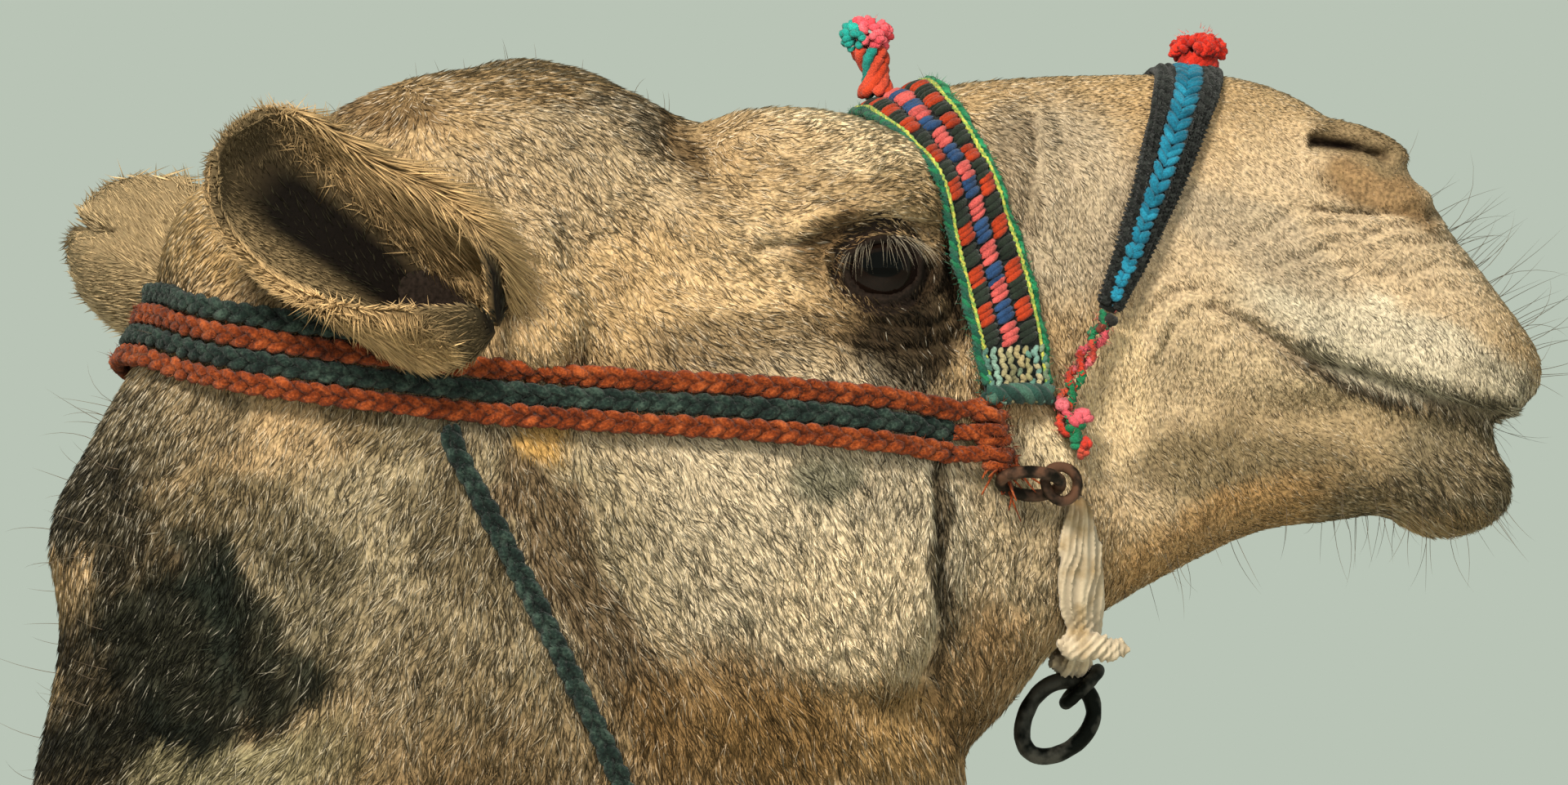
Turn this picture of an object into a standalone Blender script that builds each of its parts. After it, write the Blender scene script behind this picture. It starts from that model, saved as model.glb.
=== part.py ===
"""A life-size dromedary camel that stands still with its neck raised, in a rope halter.

Metres, +Z up. The camel looks along +X and its left side is at +Y. The floor is at z = 0, and the
origin lies on the floor below the middle of the whole animal. Run it with
blender --background --python part.py, or from Blender's text editor.

The body is drawn as lofts through sections, with rounded bulges for bone and muscle. A voxel remesh
makes them one skin, which is then parted with thin cuts into the pieces that a person would name.
The halter is laid over that skin along lines drawn in side view.
"""

import math
from itertools import pairwise

import bmesh
import bpy
from mathutils import Euler, Matrix, Vector
from mathutils.bvhtree import BVHTree

# ---------------------------------------------------------------- driving dimensions

EYE_FORWARD = 1.0614  # the head's reference point, ahead of the origin
EYE_HEIGHT = 2.25
BODY_FORWARD = EYE_FORWARD - 1.43  # the middle of the barrel, from the origin
GAP = 0.0004  # between pieces that touch
HALF_GAP = GAP / 2
RING_POINTS = 26  # round each section of a loft
FAR = 4.0  # beyond any part of the animal

FORE_LEG_Y = 0.155  # from the midline to the middle of each leg
HIND_LEG_Y = 0.150
TOE_SPREAD = 0.034

HEAD_VOXEL, HEAD_SMOOTH, HEAD_TRIANGLES = 0.004, 14, 1900
ELBOW = 1.10  # height of the top of the free foreleg
NECK_BASE = BODY_FORWARD + 0.70
BODY_VOXEL, BODY_SMOOTH, BODY_TRIANGLES = 0.010, 14, 2600

EYE_RADIUS = 0.019
EYE_PLACE = (-0.013, 0.0565, -0.005)  # the right and left eyeball, from the head's reference point

ROPE_RADIUS = 0.0034  # plaited halter ropes
ROPE_PITCH = 0.0088  # from one rope to the next, laid side by side
THROAT_ROPE_RADIUS = 0.0042
CORD_RADIUS = 0.0034
BAND_HALF_WIDTH, BAND_HALF_THICKNESS = 0.0140, 0.0018
NOSEBAND_HALF_THICKNESS = 0.0020
STRAP_LIFT = 0.0012  # a strap's underside above the flat facets of the head
WRAP_HALF_WIDTH, WRAP_HALF_THICKNESS = 0.0110, 0.0040
SIDE_RING = (0.0115, 0.0029)  # ring radius and half the thickness of its iron
HOOK_RING = (0.0068, 0.0022)
LEAD_RING = (0.0165, 0.0031)
SWIVEL_RING = (0.0062, 0.0022)

SIDES = {"right": -1, "left": 1}

# ---------------------------------------------------------------- scene and materials

for old in list(bpy.data.objects):
    bpy.data.objects.remove(old, do_unlink=True)

camel = bpy.data.collections.new("dromedary_camel")
cutters = bpy.data.collections.new("cutters")
bpy.context.scene.collection.children.link(camel)
bpy.context.scene.collection.children.link(cutters)


def finish_of(name, colour, roughness, metallic=0.0):
    """A plain Principled material."""
    material = bpy.data.materials.new(name)
    material.use_nodes = True
    shader = material.node_tree.nodes["Principled BSDF"]
    shader.inputs["Base Color"].default_value = (*colour, 1.0)
    shader.inputs["Roughness"].default_value = roughness
    shader.inputs["Metallic"].default_value = metallic
    return material


COAT = finish_of("coat", (0.42, 0.31, 0.19), 0.85)
EAR = finish_of("ear", (0.20, 0.14, 0.09), 0.85)
EYE = finish_of("eye", (0.012, 0.010, 0.009), 0.08)
HORN = finish_of("horn", (0.07, 0.055, 0.04), 0.5)
CALLUS = finish_of("callus", (0.16, 0.12, 0.09), 0.8)
TAIL_HAIR = finish_of("tail_hair", (0.10, 0.07, 0.05), 0.9)
RUST_WOOL = finish_of("rust_wool", (0.36, 0.07, 0.03), 0.9)
TEAL_WOOL = finish_of("teal_wool", (0.055, 0.085, 0.085), 0.9)
CHECK_WOOL = finish_of("check_wool", (0.45, 0.07, 0.05), 0.9)
BLACK_WOOL = finish_of("black_wool", (0.03, 0.035, 0.035), 0.9)
RED_WOOL = finish_of("red_wool", (0.55, 0.05, 0.03), 0.9)
PINK_WOOL = finish_of("pink_wool", (0.60, 0.13, 0.13), 0.9)
WHITE_CLOTH = finish_of("white_cloth", (0.60, 0.54, 0.42), 0.8)
IRON = finish_of("iron", (0.08, 0.06, 0.05), 0.6, 0.8)


def add_object(name, mesh, material=None, collection=camel):
    """A mesh as an object in a collection, with its material."""
    if material is not None:
        mesh.materials.clear()
        mesh.materials.append(material)
    made = bpy.data.objects.new(name, mesh)
    collection.objects.link(made)
    return made


def settle(made):
    """Applies the object's modifiers and placement, makes a curve a mesh, and welds its caps."""
    bpy.context.view_layer.update()
    graph = bpy.context.evaluated_depsgraph_get()
    mesh = bpy.data.meshes.new_from_object(made.evaluated_get(graph))
    mesh.transform(made.matrix_world)
    bm = bmesh.new()
    bm.from_mesh(mesh)
    bmesh.ops.remove_doubles(bm, verts=bm.verts, dist=1e-6)
    bm.to_mesh(mesh)
    bm.free()
    name, collection = made.name, made.users_collection[0]
    bpy.data.objects.remove(made, do_unlink=True)
    mesh.name = name
    return add_object(name, mesh, None, collection)


# ---------------------------------------------------------------- modelling helpers


def curved(rows, i, t):
    """The row at share t of the way from row i to the next, on a smooth curve through all."""
    before, start, end = rows[max(i - 1, 0)], rows[i], rows[i + 1]
    after = rows[min(i + 2, len(rows) - 1)]
    second = 2 * before - 5 * start + 4 * end - after
    third = 3 * start - before - 3 * end + after
    return 0.5 * (2 * start + (end - before) * t + second * t**2 + third * t**3)


def eased(stations, steps=4):
    """The stations, with more between them on smooth curves."""
    rows = [Vector(station) for station in stations]
    between = [curved(rows, i, k / steps) for i in range(len(rows) - 1) for k in range(steps)]
    return [*between, rows[-1]]


def section(x_top, z_top, x_low, z_low, half_width, y=0.0, square=1.0):
    """A ring of points through an upper and a lower outline point, as wide as told.

    square below 1 makes the ring boxier than an ellipse.
    """
    top, low = Vector((x_top, y, z_top)), Vector((x_low, y, z_low))
    middle, reach = (top + low) / 2, (top - low) / 2
    ring = []
    for i in range(RING_POINTS):
        turn = 2 * math.pi * i / RING_POINTS
        c, s = math.cos(turn), math.sin(turn)
        along = math.copysign(abs(c) ** square, c)
        across = math.copysign(abs(s) ** square, s)
        ring.append(middle + reach * along + Vector((0, half_width * across, 0)))
    return ring


def loft(rings):
    """A closed mesh through the rings, capped at both ends, as a bmesh."""
    bm = bmesh.new()
    loops = [[bm.verts.new(point) for point in ring] for ring in rings]
    for near, far in pairwise(loops):
        for i in range(len(near)):
            j = (i + 1) % len(near)
            bm.faces.new((near[i], near[j], far[j], far[i]))
    bm.faces.new(loops[0])
    bm.faces.new(loops[-1])
    bmesh.ops.recalc_face_normals(bm, faces=bm.faces)
    return bm


def bulge(centre, radii, turn=(0, 0, 0), around=20):
    """An ellipsoid, turned by degrees about X, Y and Z, as a bmesh."""
    bm = bmesh.new()
    angles = Euler([math.radians(angle) for angle in turn])
    place = Matrix.LocRotScale(Vector(centre), angles, Vector(radii))
    bmesh.ops.create_uvsphere(
        bm, u_segments=around, v_segments=around // 2 + 1, radius=1, matrix=place
    )
    return bm


def joined(name, shapes, collection=camel, material=None):
    """One object from several bmeshes, which may overlap."""
    whole = bmesh.new()
    for shape in shapes:
        piece = bpy.data.meshes.new("piece")
        shape.to_mesh(piece)
        shape.free()
        whole.from_mesh(piece)
        bpy.data.meshes.remove(piece)
    mesh = bpy.data.meshes.new(name)
    whole.to_mesh(mesh)
    whole.free()
    return add_object(name, mesh, material, collection)


def one_skin(name, shapes, voxel, rounds, triangles, softer=None):
    """Overlapping shapes made one smooth skin of about so many triangles.

    Above the height and behind the x given in softer, the skin is smoothed three times as much.
    """
    made = joined(name, shapes, cutters)
    remesh = made.modifiers.new("remesh", "REMESH")
    remesh.mode = "VOXEL"
    remesh.voxel_size = voxel
    made = settle(made)
    smooth = made.modifiers.new("smooth", "SMOOTH")
    smooth.factor = 0.5
    smooth.iterations = rounds
    if softer:
        places = [(vertex.index, vertex.co) for vertex in made.data.vertices]
        chosen = [index for index, place in places if place.z > softer[0] and place.x < softer[1]]
        soft = made.vertex_groups.new(name="soft")
        soft.add(chosen, 1.0, "REPLACE")
        more = made.modifiers.new("more", "SMOOTH")
        more.factor = 0.5
        more.iterations = 2 * rounds
        more.vertex_group = "soft"
    thin = made.modifiers.new("thin", "DECIMATE")
    thin.ratio = triangles / (2 * len(made.data.polygons))
    made = settle(made)
    made.hide_render = True
    made.display_type = "WIRE"
    return made


def box(low, high, grow):
    """A box between two corners, grown by so much on every side, as a bmesh."""
    low, high = Vector(low), Vector(high)
    size = high - low + Vector((2 * grow,) * 3)
    bm = bmesh.new()
    place = Matrix.Translation((low + high) / 2) @ Matrix.Diagonal((*size, 1))
    bmesh.ops.create_cube(bm, size=1, matrix=place)
    return bm


def grown(source, amount):
    """The object's shape pushed outwards along its normals, as a bmesh."""
    bm = bmesh.new()
    bm.from_mesh(source.data)
    bm.normal_update()
    for vertex in bm.verts:
        vertex.co += vertex.normal * amount
    return bm


def carve(source, name, material, inside=(), outside=()):
    """A copy of source, kept within each shape of inside and cleared of each of outside."""
    made = add_object(name, source.data.copy(), material)
    used = []
    for operation, shapes in (("INTERSECT", inside), ("DIFFERENCE", outside)):
        for shape in shapes:
            cutter = joined("cutter", [shape], cutters)
            cut = made.modifiers.new("cut", "BOOLEAN")
            cut.operation = operation
            cut.object = cutter
            used.append(cutter)
    made = settle(made)
    for cutter in used:
        bpy.data.objects.remove(cutter, do_unlink=True)
    return made


# ---------------------------------------------------------------- the animal's outline

SKULL = [  # x, top, bottom, half width, from the head's reference point
    (-0.288, 0.004, -0.050, 0.036),
    (-0.276, 0.028, -0.085, 0.056),
    (-0.248, 0.044, -0.110, 0.070),
    (-0.208, 0.063, -0.120, 0.079),
    (-0.158, 0.079, -0.120, 0.081),
    (-0.124, 0.077, -0.120, 0.079),
    (-0.096, 0.064, -0.120, 0.077),
    (-0.068, 0.053, -0.120, 0.077),
    (-0.035, 0.051, -0.120, 0.076),
    (0.000, 0.059, -0.120, 0.070),
    (0.024, 0.071, -0.110, 0.062),
    (0.062, 0.075, -0.100, 0.055),
    (0.107, 0.076, -0.085, 0.050),
    (0.138, 0.075, -0.070, 0.047),
    (0.163, 0.067, -0.062, 0.046),
    (0.186, 0.053, -0.056, 0.046),
    (0.208, 0.037, -0.057, 0.046),
    (0.229, 0.013, -0.059, 0.043),
    (0.246, -0.009, -0.061, 0.037),
    (0.257, -0.023, -0.058, 0.028),
    (0.263, -0.032, -0.050, 0.014),
]

JAW = [  # x, top, bottom, half width
    (-0.030, -0.060, -0.190, 0.052),
    (0.020, -0.050, -0.196, 0.056),
    (0.046, -0.040, -0.180, 0.054),
    (0.070, -0.040, -0.151, 0.050),
    (0.096, -0.040, -0.133, 0.046),
    (0.125, -0.040, -0.118, 0.042),
    (0.152, -0.050, -0.104, 0.038),
    (0.180, -0.055, -0.102, 0.035),
    (0.208, -0.062, -0.106, 0.035),
    (0.230, -0.067, -0.110, 0.033),
    (0.244, -0.071, -0.105, 0.026),
    (0.252, -0.079, -0.095, 0.013),
]

NECK = [  # nape x, z, then throat x, z, then half width
    (-0.250, 0.030, -0.140, -0.010, 0.050),
    (-0.291, -0.012, -0.110, -0.050, 0.068),
    (-0.314, -0.060, -0.060, -0.100, 0.078),
    (-0.333, -0.105, 0.000, -0.150, 0.084),
    (-0.333, -0.150, 0.036, -0.198, 0.087),
    (-0.342, -0.215, 0.012, -0.235, 0.086),
    (-0.350, -0.280, -0.034, -0.285, 0.083),
    (-0.357, -0.350, -0.068, -0.350, 0.080),
    (-0.368, -0.430, -0.092, -0.430, 0.079),
    (-0.385, -0.520, -0.118, -0.535, 0.080),
    (-0.425, -0.600, -0.165, -0.680, 0.084),
    (-0.505, -0.655, -0.275, -0.850, 0.092),
    (-0.610, -0.670, -0.455, -0.985, 0.106),
    (-0.740, -0.630, -0.665, -1.075, 0.135),
    (-0.880, -0.560, -0.860, -1.160, 0.175),
    (-1.030, -0.490, -1.020, -1.220, 0.210),
]

TRUNK = [  # back x, z, then belly x, z, then half width, from the middle of the barrel
    (0.70, 1.62, 0.67, 1.19, 0.100),
    (0.62, 1.69, 0.59, 1.10, 0.165),
    (0.52, 1.74, 0.49, 1.03, 0.205),
    (0.40, 1.79, 0.38, 0.995, 0.235),
    (0.22, 1.81, 0.20, 0.995, 0.268),
    (0.02, 1.81, 0.00, 1.030, 0.295),
    (-0.18, 1.79, -0.20, 1.080, 0.298),
    (-0.38, 1.74, -0.38, 1.150, 0.270),
    (-0.54, 1.69, -0.54, 1.225, 0.225),
    (-0.69, 1.62, -0.70, 1.270, 0.180),
    (-0.80, 1.54, -0.81, 1.310, 0.125),
    (-0.86, 1.47, -0.86, 1.350, 0.070),
]

HUMP = [  # height, back end, front end, half width
    (1.62, -0.600, 0.500, 0.235),
    (1.70, -0.530, 0.430, 0.215),
    (1.78, -0.465, 0.365, 0.192),
    (1.86, -0.415, 0.305, 0.168),
    (1.94, -0.372, 0.252, 0.142),
    (2.01, -0.330, 0.200, 0.116),
    (2.07, -0.280, 0.142, 0.088),
    (2.115, -0.222, 0.074, 0.058),
    (2.140, -0.150, -0.005, 0.026),
]

FORE_LEG = [  # height, back edge, front edge, half width, offset outwards
    (1.42, 0.35, 0.56, 0.050, 0.020),
    (1.26, 0.335, 0.575, 0.072, 0.020),
    (1.12, 0.345, 0.560, 0.078, 0.014),
    (1.01, 0.364, 0.532, 0.070, 0.008),
    (0.91, 0.380, 0.507, 0.057, 0.003),
    (0.80, 0.391, 0.490, 0.047, 0.0),
    (0.69, 0.396, 0.487, 0.043, 0.0),
    (0.63, 0.392, 0.502, 0.050, 0.0),
    (0.57, 0.389, 0.506, 0.053, 0.0),
    (0.515, 0.396, 0.490, 0.046, 0.0),
    (0.46, 0.405, 0.475, 0.035, 0.0),
    (0.32, 0.407, 0.471, 0.031, 0.0),
    (0.21, 0.404, 0.475, 0.035, 0.0),
    (0.150, 0.396, 0.490, 0.046, 0.0),
    (0.105, 0.402, 0.502, 0.046, 0.0),
    (0.075, 0.396, 0.532, 0.057, 0.0),
    (0.045, 0.386, 0.567, 0.079, 0.0),
    (0.020, 0.380, 0.590, 0.094, 0.0),
    (-0.030, 0.380, 0.590, 0.094, 0.0),
]

HIND_LEG = [  # height, back edge, front edge, half width, offset outwards
    (1.52, -0.78, -0.46, 0.040, -0.040),
    (1.38, -0.80, -0.41, 0.080, -0.015),
    (1.26, -0.795, -0.40, 0.092, 0.0),
    (1.15, -0.785, -0.415, 0.088, 0.002),
    (1.05, -0.772, -0.455, 0.076, 0.0),
    (0.95, -0.768, -0.520, 0.062, 0.0),
    (0.84, -0.785, -0.602, 0.050, 0.0),
    (0.74, -0.808, -0.662, 0.043, 0.0),
    (0.66, -0.828, -0.688, 0.044, 0.0),
    (0.60, -0.824, -0.690, 0.046, 0.0),
    (0.53, -0.794, -0.690, 0.040, 0.0),
    (0.44, -0.769, -0.694, 0.032, 0.0),
    (0.30, -0.757, -0.690, 0.029, 0.0),
    (0.20, -0.751, -0.677, 0.033, 0.0),
    (0.145, -0.750, -0.658, 0.043, 0.0),
    (0.105, -0.742, -0.643, 0.043, 0.0),
    (0.075, -0.746, -0.613, 0.053, 0.0),
    (0.045, -0.754, -0.583, 0.072, 0.0),
    (0.020, -0.760, -0.564, 0.084, 0.0),
    (-0.030, -0.760, -0.564, 0.084, 0.0),
]

TAIL = [  # rear x, z, then front x, z, then half width
    (-0.800, 1.545, -0.800, 1.470, 0.040),
    (-0.875, 1.510, -0.855, 1.435, 0.038),
    (-0.925, 1.450, -0.880, 1.405, 0.032),
    (-0.945, 1.360, -0.895, 1.350, 0.026),
    (-0.948, 1.240, -0.908, 1.240, 0.021),
    (-0.946, 1.120, -0.914, 1.120, 0.018),
    (-0.954, 1.060, -0.904, 1.060, 0.027),
    (-0.958, 0.990, -0.900, 0.990, 0.031),
    (-0.950, 0.920, -0.906, 0.920, 0.024),
    (-0.938, 0.860, -0.918, 0.860, 0.009),
]


def at_head(x, z, y=0.0):
    """A place given from the head's reference point, as a point of the model."""
    return Vector((EYE_FORWARD + x, y, EYE_HEIGHT + z))


def at_body(x, z, y=0.0):
    """A place given from the middle of the barrel, on the floor, as a point of the model."""
    return Vector((BODY_FORWARD + x, y, z))


def outline_loft(stations, place, square=1.0):
    """A loft through rows of two outline points and a half width."""
    rings = []
    for x_top, z_top, x_low, z_low, half in eased(stations):
        top, low = place(x_top, z_top), place(x_low, z_low)
        rings.append(section(top.x, top.z, low.x, low.z, half, 0.0, square))
    return loft(rings)


def upright_loft(stations, square):
    """A loft of the head through rows of x, top, bottom and half width."""
    rows = [(x, top, x, bottom, half) for x, top, bottom, half in stations]
    return outline_loft(rows, at_head, square)


def stacked_loft(stations, y=0.0, side=1, square=1.0):
    """A loft of level rings, through rows of height, back, front, half width and offset."""
    rings = []
    for height, back, front, half, out in eased(stations):
        rear, fore = at_body(back, height), at_body(front, height)
        rings.append(section(fore.x, fore.z, rear.x, rear.z, half, side * (y + out), square))
    return loft(rings)


def head_bulges(side):
    """Bone and muscle that stand out on one side of the head."""
    return [
        # the brow over the eye and its rear end, then the arch and the lid below the eye
        bulge(at_head(-0.036, 0.028, side * 0.048), (0.060, 0.040, 0.031), (0, 8, 0)),
        bulge(at_head(-0.066, 0.010, side * 0.050), (0.056, 0.034, 0.036)),
        bulge(at_head(-0.066, -0.040, side * 0.050), (0.120, 0.036, 0.034), (0, 6, 0)),
        bulge(at_head(-0.012, -0.024, side * 0.050), (0.036, 0.026, 0.018), (0, 8, 0)),
        bulge(at_head(0.012, -0.040, side * 0.042), (0.040, 0.028, 0.040), (0, 20, 0)),
        # the chewing muscle and its blend into the neck, and the softer cheek ahead of it
        bulge(at_head(-0.066, -0.100, side * 0.040), (0.106, 0.050, 0.092), (0, 14, 0)),
        bulge(at_head(-0.112, -0.100, side * 0.030), (0.150, 0.055, 0.096), (0, 14, 0)),
        bulge(at_head(0.034, -0.088, side * 0.026), (0.056, 0.038, 0.080)),
        # the temple muscle beside the crown
        bulge(at_head(-0.156, 0.024, side * 0.036), (0.090, 0.050, 0.053)),
        # wings of the nostril, and the pads of the split upper lip
        bulge(at_head(0.186, 0.044, side * 0.022), (0.022, 0.020, 0.011), (0, 20, 0)),
        bulge(at_head(0.190, 0.018, side * 0.024), (0.034, 0.024, 0.016), (0, 24, 0)),
        bulge(at_head(0.205, -0.030, side * 0.018), (0.056, 0.032, 0.034), (0, 22, 0)),
        bulge(at_head(0.130, -0.016, side * 0.022), (0.066, 0.030, 0.046), (0, 15, 0)),
        # the pad of the chin
        bulge(at_head(0.223, -0.088, side * 0.010), (0.028, 0.024, 0.022)),
    ]


def body_bulges(side):
    """Shoulder blade, upper arm, haunch and buttock of one side."""
    return [
        bulge(at_body(0.40, 1.42, side * 0.120), (0.180, 0.105, 0.320), (0, 10, 0)),
        bulge(at_body(0.46, 1.24, side * 0.120), (0.160, 0.095, 0.200), (0, -8, 0)),
        bulge(at_body(-0.55, 1.42, side * 0.105), (0.240, 0.110, 0.240)),
        bulge(at_body(-0.67, 1.27, side * 0.105), (0.140, 0.085, 0.220), (0, 8, 0)),
    ]


head_shapes = [
    upright_loft(SKULL, 0.88),
    upright_loft(JAW, 0.88),
    outline_loft(NECK[:11], at_head),
]
body_shapes = [
    outline_loft(NECK, at_head),
    outline_loft(TRUNK, at_body),
    outline_loft(TAIL, at_body),
    stacked_loft([(*station, 0.0) for station in HUMP]),
]
for side in SIDES.values():
    head_shapes += head_bulges(side)
    body_shapes += body_bulges(side)
    body_shapes.append(stacked_loft(FORE_LEG, FORE_LEG_Y, side, 0.95))
    body_shapes.append(stacked_loft(HIND_LEG, HIND_LEG_Y, side, 0.95))

head_skin = one_skin("head_skin", head_shapes, HEAD_VOXEL, HEAD_SMOOTH, HEAD_TRIANGLES)
body_skin = one_skin(
    "body_skin", body_shapes, BODY_VOXEL, BODY_SMOOTH, BODY_TRIANGLES, (ELBOW, NECK_BASE)
)

# ---------------------------------------------------------------- parting the head

POLL_PIVOT = at_head(-0.150, -0.138)  # the cut behind the cheek slopes down to the front
POLL_TILT = 24.0
MOUTH_FRONT = at_head(0.246, -0.0625)  # the mouth line climbs to the rear
MOUTH_TILT = 16.0
JAW_BACK = at_head(0.082, 0).x


def above_poll(grow):
    """Everything above and ahead of the sloping cut between the head and the neck."""
    bm = box(POLL_PIVOT - Vector((1, FAR, 0)), POLL_PIVOT + Vector((1, FAR, 1)), grow)
    turn = Matrix.Rotation(math.radians(POLL_TILT), 3, "Y")
    bmesh.ops.rotate(bm, cent=POLL_PIVOT, matrix=turn, verts=bm.verts)
    return bm


def below_mouth(grow):
    """The chin and the front of the lower jaw, under the line of the lips."""
    bm = box((JAW_BACK, -FAR, MOUTH_FRONT.z - 0.3), (JAW_BACK + 0.6, FAR, MOUTH_FRONT.z), grow)
    slope = math.tan(math.radians(MOUTH_TILT))
    for vertex in bm.verts:
        vertex.co.z += (MOUTH_FRONT.x - vertex.co.x) * slope
    return bm


def head_hollows(side):
    """Eye socket, the opening between the lids, and the slit of the nostril."""
    x, y, z = EYE_PLACE
    lids = at_head(x + 0.001, z - 0.001, side * (y + 0.022))
    nostril = at_head(0.184, 0.0425, side * 0.045)
    return [
        bulge(at_head(x, z, side * y), (EYE_RADIUS + GAP,) * 3, around=14),
        bulge(lids, (0.0175, 0.018, 0.0125), (0, 6, 0), around=14),
        bulge(nostril, (0.021, 0.016, 0.0042), (0, 20, 0), around=12),
    ]


hollows = [shape for side in SIDES.values() for shape in head_hollows(side)]
head = carve(
    head_skin, "head", COAT, [above_poll(-HALF_GAP)], [below_mouth(HALF_GAP), *hollows]
)
carve(head_skin, "lower_jaw", COAT, [above_poll(-HALF_GAP), below_mouth(-HALF_GAP)])
for side_name, side in SIDES.items():
    x, y, z = EYE_PLACE
    ball = bulge(at_head(x, z, side * y), (EYE_RADIUS,) * 3, around=14)
    joined(f"eye_{side_name}", [ball], material=EYE)

# ---------------------------------------------------------------- parting the body

NECK_MIDDLE = 1.76
CHEST_BACK = at_body(0.24, 0).x
LOIN = at_body(-0.42, 0).x
DOCK = at_body(-0.884, 0).x
HUMP_FOOT = 1.80
TUFT_TOP = 1.09
FOOT_TOP = 0.115
PAD_RADII = (0.100, 0.053, 0.040)

PAIRS = {  # front and back of the leg's box, inner face, top, middle joint, toe tip, leg's y
    "fore": (at_body(0.26, 0).x, at_body(0.68, 0).x, 0.055, ELBOW, 0.50, 0.590, FORE_LEG_Y),
    "hind": (DOCK, at_body(-0.375, 0).x, 0.035, 1.14, 0.52, -0.564, HIND_LEG_Y),
}


def leg_space(pair, side, grow):
    """The space of one leg below the elbow or the stifle."""
    rear, front, inner, top = PAIRS[pair][:4]
    low, high = sorted((side * inner, side * 1.0))
    return box((rear, low, -0.5), (front, high, top), grow)


def slab(x_low, x_high, z_low, z_high, grow=-HALF_GAP):
    """A box right across the animal."""
    return box((x_low, -FAR, z_low), (x_high, FAR, z_high), grow)


def trunk_part(name, keep, pairs=()):
    spaces = [leg_space(pair, side, HALF_GAP) for pair in pairs for side in SIDES.values()]
    return carve(body_skin, name, COAT, [keep], spaces)


carve(
    body_skin, "neck_upper", COAT, [slab(NECK_BASE, FAR, NECK_MIDDLE, FAR)], [above_poll(HALF_GAP)]
)
trunk_part("neck_lower", slab(NECK_BASE, FAR, 0, NECK_MIDDLE))
chest = trunk_part("chest", slab(CHEST_BACK, NECK_BASE, 0, HUMP_FOOT), ["fore"])
trunk_part("barrel", slab(LOIN, CHEST_BACK, 0, HUMP_FOOT), ["hind"])
trunk_part("rump", slab(DOCK, LOIN, 0, HUMP_FOOT), ["hind"])
trunk_part("hump", slab(LOIN - 0.2, NECK_BASE, HUMP_FOOT, FAR))
trunk_part("tail", slab(-FAR, DOCK, TUFT_TOP, FAR))
trunk_part("tail_tuft", slab(-FAR, DOCK, 0, TUFT_TOP)).data.materials[0] = TAIL_HAIR

pad = joined("pad", [bulge(at_body(0.345, 1.004), PAD_RADII, around=12)], cutters)
carve(pad, "chest_pad", CALLUS, [], [grown(chest, GAP)])
bpy.data.objects.remove(pad, do_unlink=True)

for pair, (_, _, _, _, joint, toe, leg_y) in PAIRS.items():
    for side_name, side in SIDES.items():
        nails = []
        for toe_name, toe_side in (("inner", -1), ("outer", 1)):
            place = at_body(toe - 0.012, 0.022, side * (leg_y + toe_side * TOE_SPREAD))
            nail = bulge(place, (0.022, 0.014, 0.017), (0, 18, 0), around=8)
            nails.append(joined(f"nail_{pair}_{side_name}_{toe_name}", [nail], material=HORN))
        bands = {"upper": (joint, FAR), "lower": (FOOT_TOP, joint), "foot": (-HALF_GAP, FOOT_TOP)}
        for band, (low, high) in bands.items():
            keep = [leg_space(pair, side, -HALF_GAP), slab(-FAR, FAR, low, high)]
            clear = [grown(nail, GAP) for nail in nails] if band == "foot" else []
            carve(body_skin, f"{pair}leg_{band}_{side_name}", COAT, keep, clear)

# ---------------------------------------------------------------- laying things on the head

surfaces = []
for skin in (head_skin, body_skin):
    corners = [vertex.co for vertex in skin.data.vertices]
    surfaces.append(BVHTree.FromPolygons(corners, [face.vertices for face in skin.data.polygons]))


def outermost(inner, outwards):
    """Where a line from an inner point leaves the animal."""
    outwards = outwards.normalized()
    start = inner + outwards * 0.6
    hits = [surface.ray_cast(start, -outwards, 0.6)[0] for surface in surfaces]
    return max((hit for hit in hits if hit), key=lambda hit: (hit - inner).dot(outwards))


def lifted(point, lift):
    """The point moved clear of the animal by lift where it lies nearer."""
    for surface in surfaces:
        near, normal, _, distance = surface.find_nearest(point)
        if (point - near).dot(normal) < 0:
            point = near + normal * lift
        elif distance < lift:
            point = near + (point - near).normalized() * lift
    return point


def spaced(points, step):
    """The line through the points, walked in even steps of about that length."""
    lengths = [0.0]
    for a, b in pairwise(points):
        lengths.append(lengths[-1] + (b - a).length)
    count = max(3, round(lengths[-1] / step) + 1)
    walked, i = [], 0
    for k in range(count):
        at = lengths[-1] * k / (count - 1)
        while i < len(points) - 2 and lengths[i + 1] < at:
            i += 1
        span = lengths[i + 1] - lengths[i]
        walked.append(points[i].lerp(points[i + 1], (at - lengths[i]) / span))
    return walked


def sway_at(guide, p):
    """How far the guide line strays from straight at distance p along it."""
    for (p_low, q_low), (p_high, q_high) in pairwise(guide):
        if p <= p_high:
            return q_low + (q_high - q_low) * max(0.0, p - p_low) / (p_high - p_low)
    return guide[-1][1]


def girth(line, shift=0.0, bound=150):
    """Points round the head from right to left, along a line drawn in side view.

    The line's first point is low on the side and its last is on the midline. shift moves the
    whole line sideways in side view.
    """
    line = [at_head(x, z) for x, z in line]
    along = (line[-1] - line[0]).normalized()
    across = Vector((0, 1, 0)).cross(along)
    guide = [((point - line[0]).dot(along), (point - line[0]).dot(across)) for point in line]
    middle = guide[-1][0] * 0.4
    found = []
    for degrees in range(-bound, bound + 1, 2):
        outwards = along * math.cos(math.radians(degrees))
        outwards.y = math.sin(math.radians(degrees))
        hit, p = None, middle
        for _ in range(3):
            inner = line[0] + along * middle + across * (sway_at(guide, p) + shift)
            hit = outermost(inner, outwards)
            p = (hit - line[0]).dot(along)
        if p >= 0:
            found.append(hit)
    return found


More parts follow.
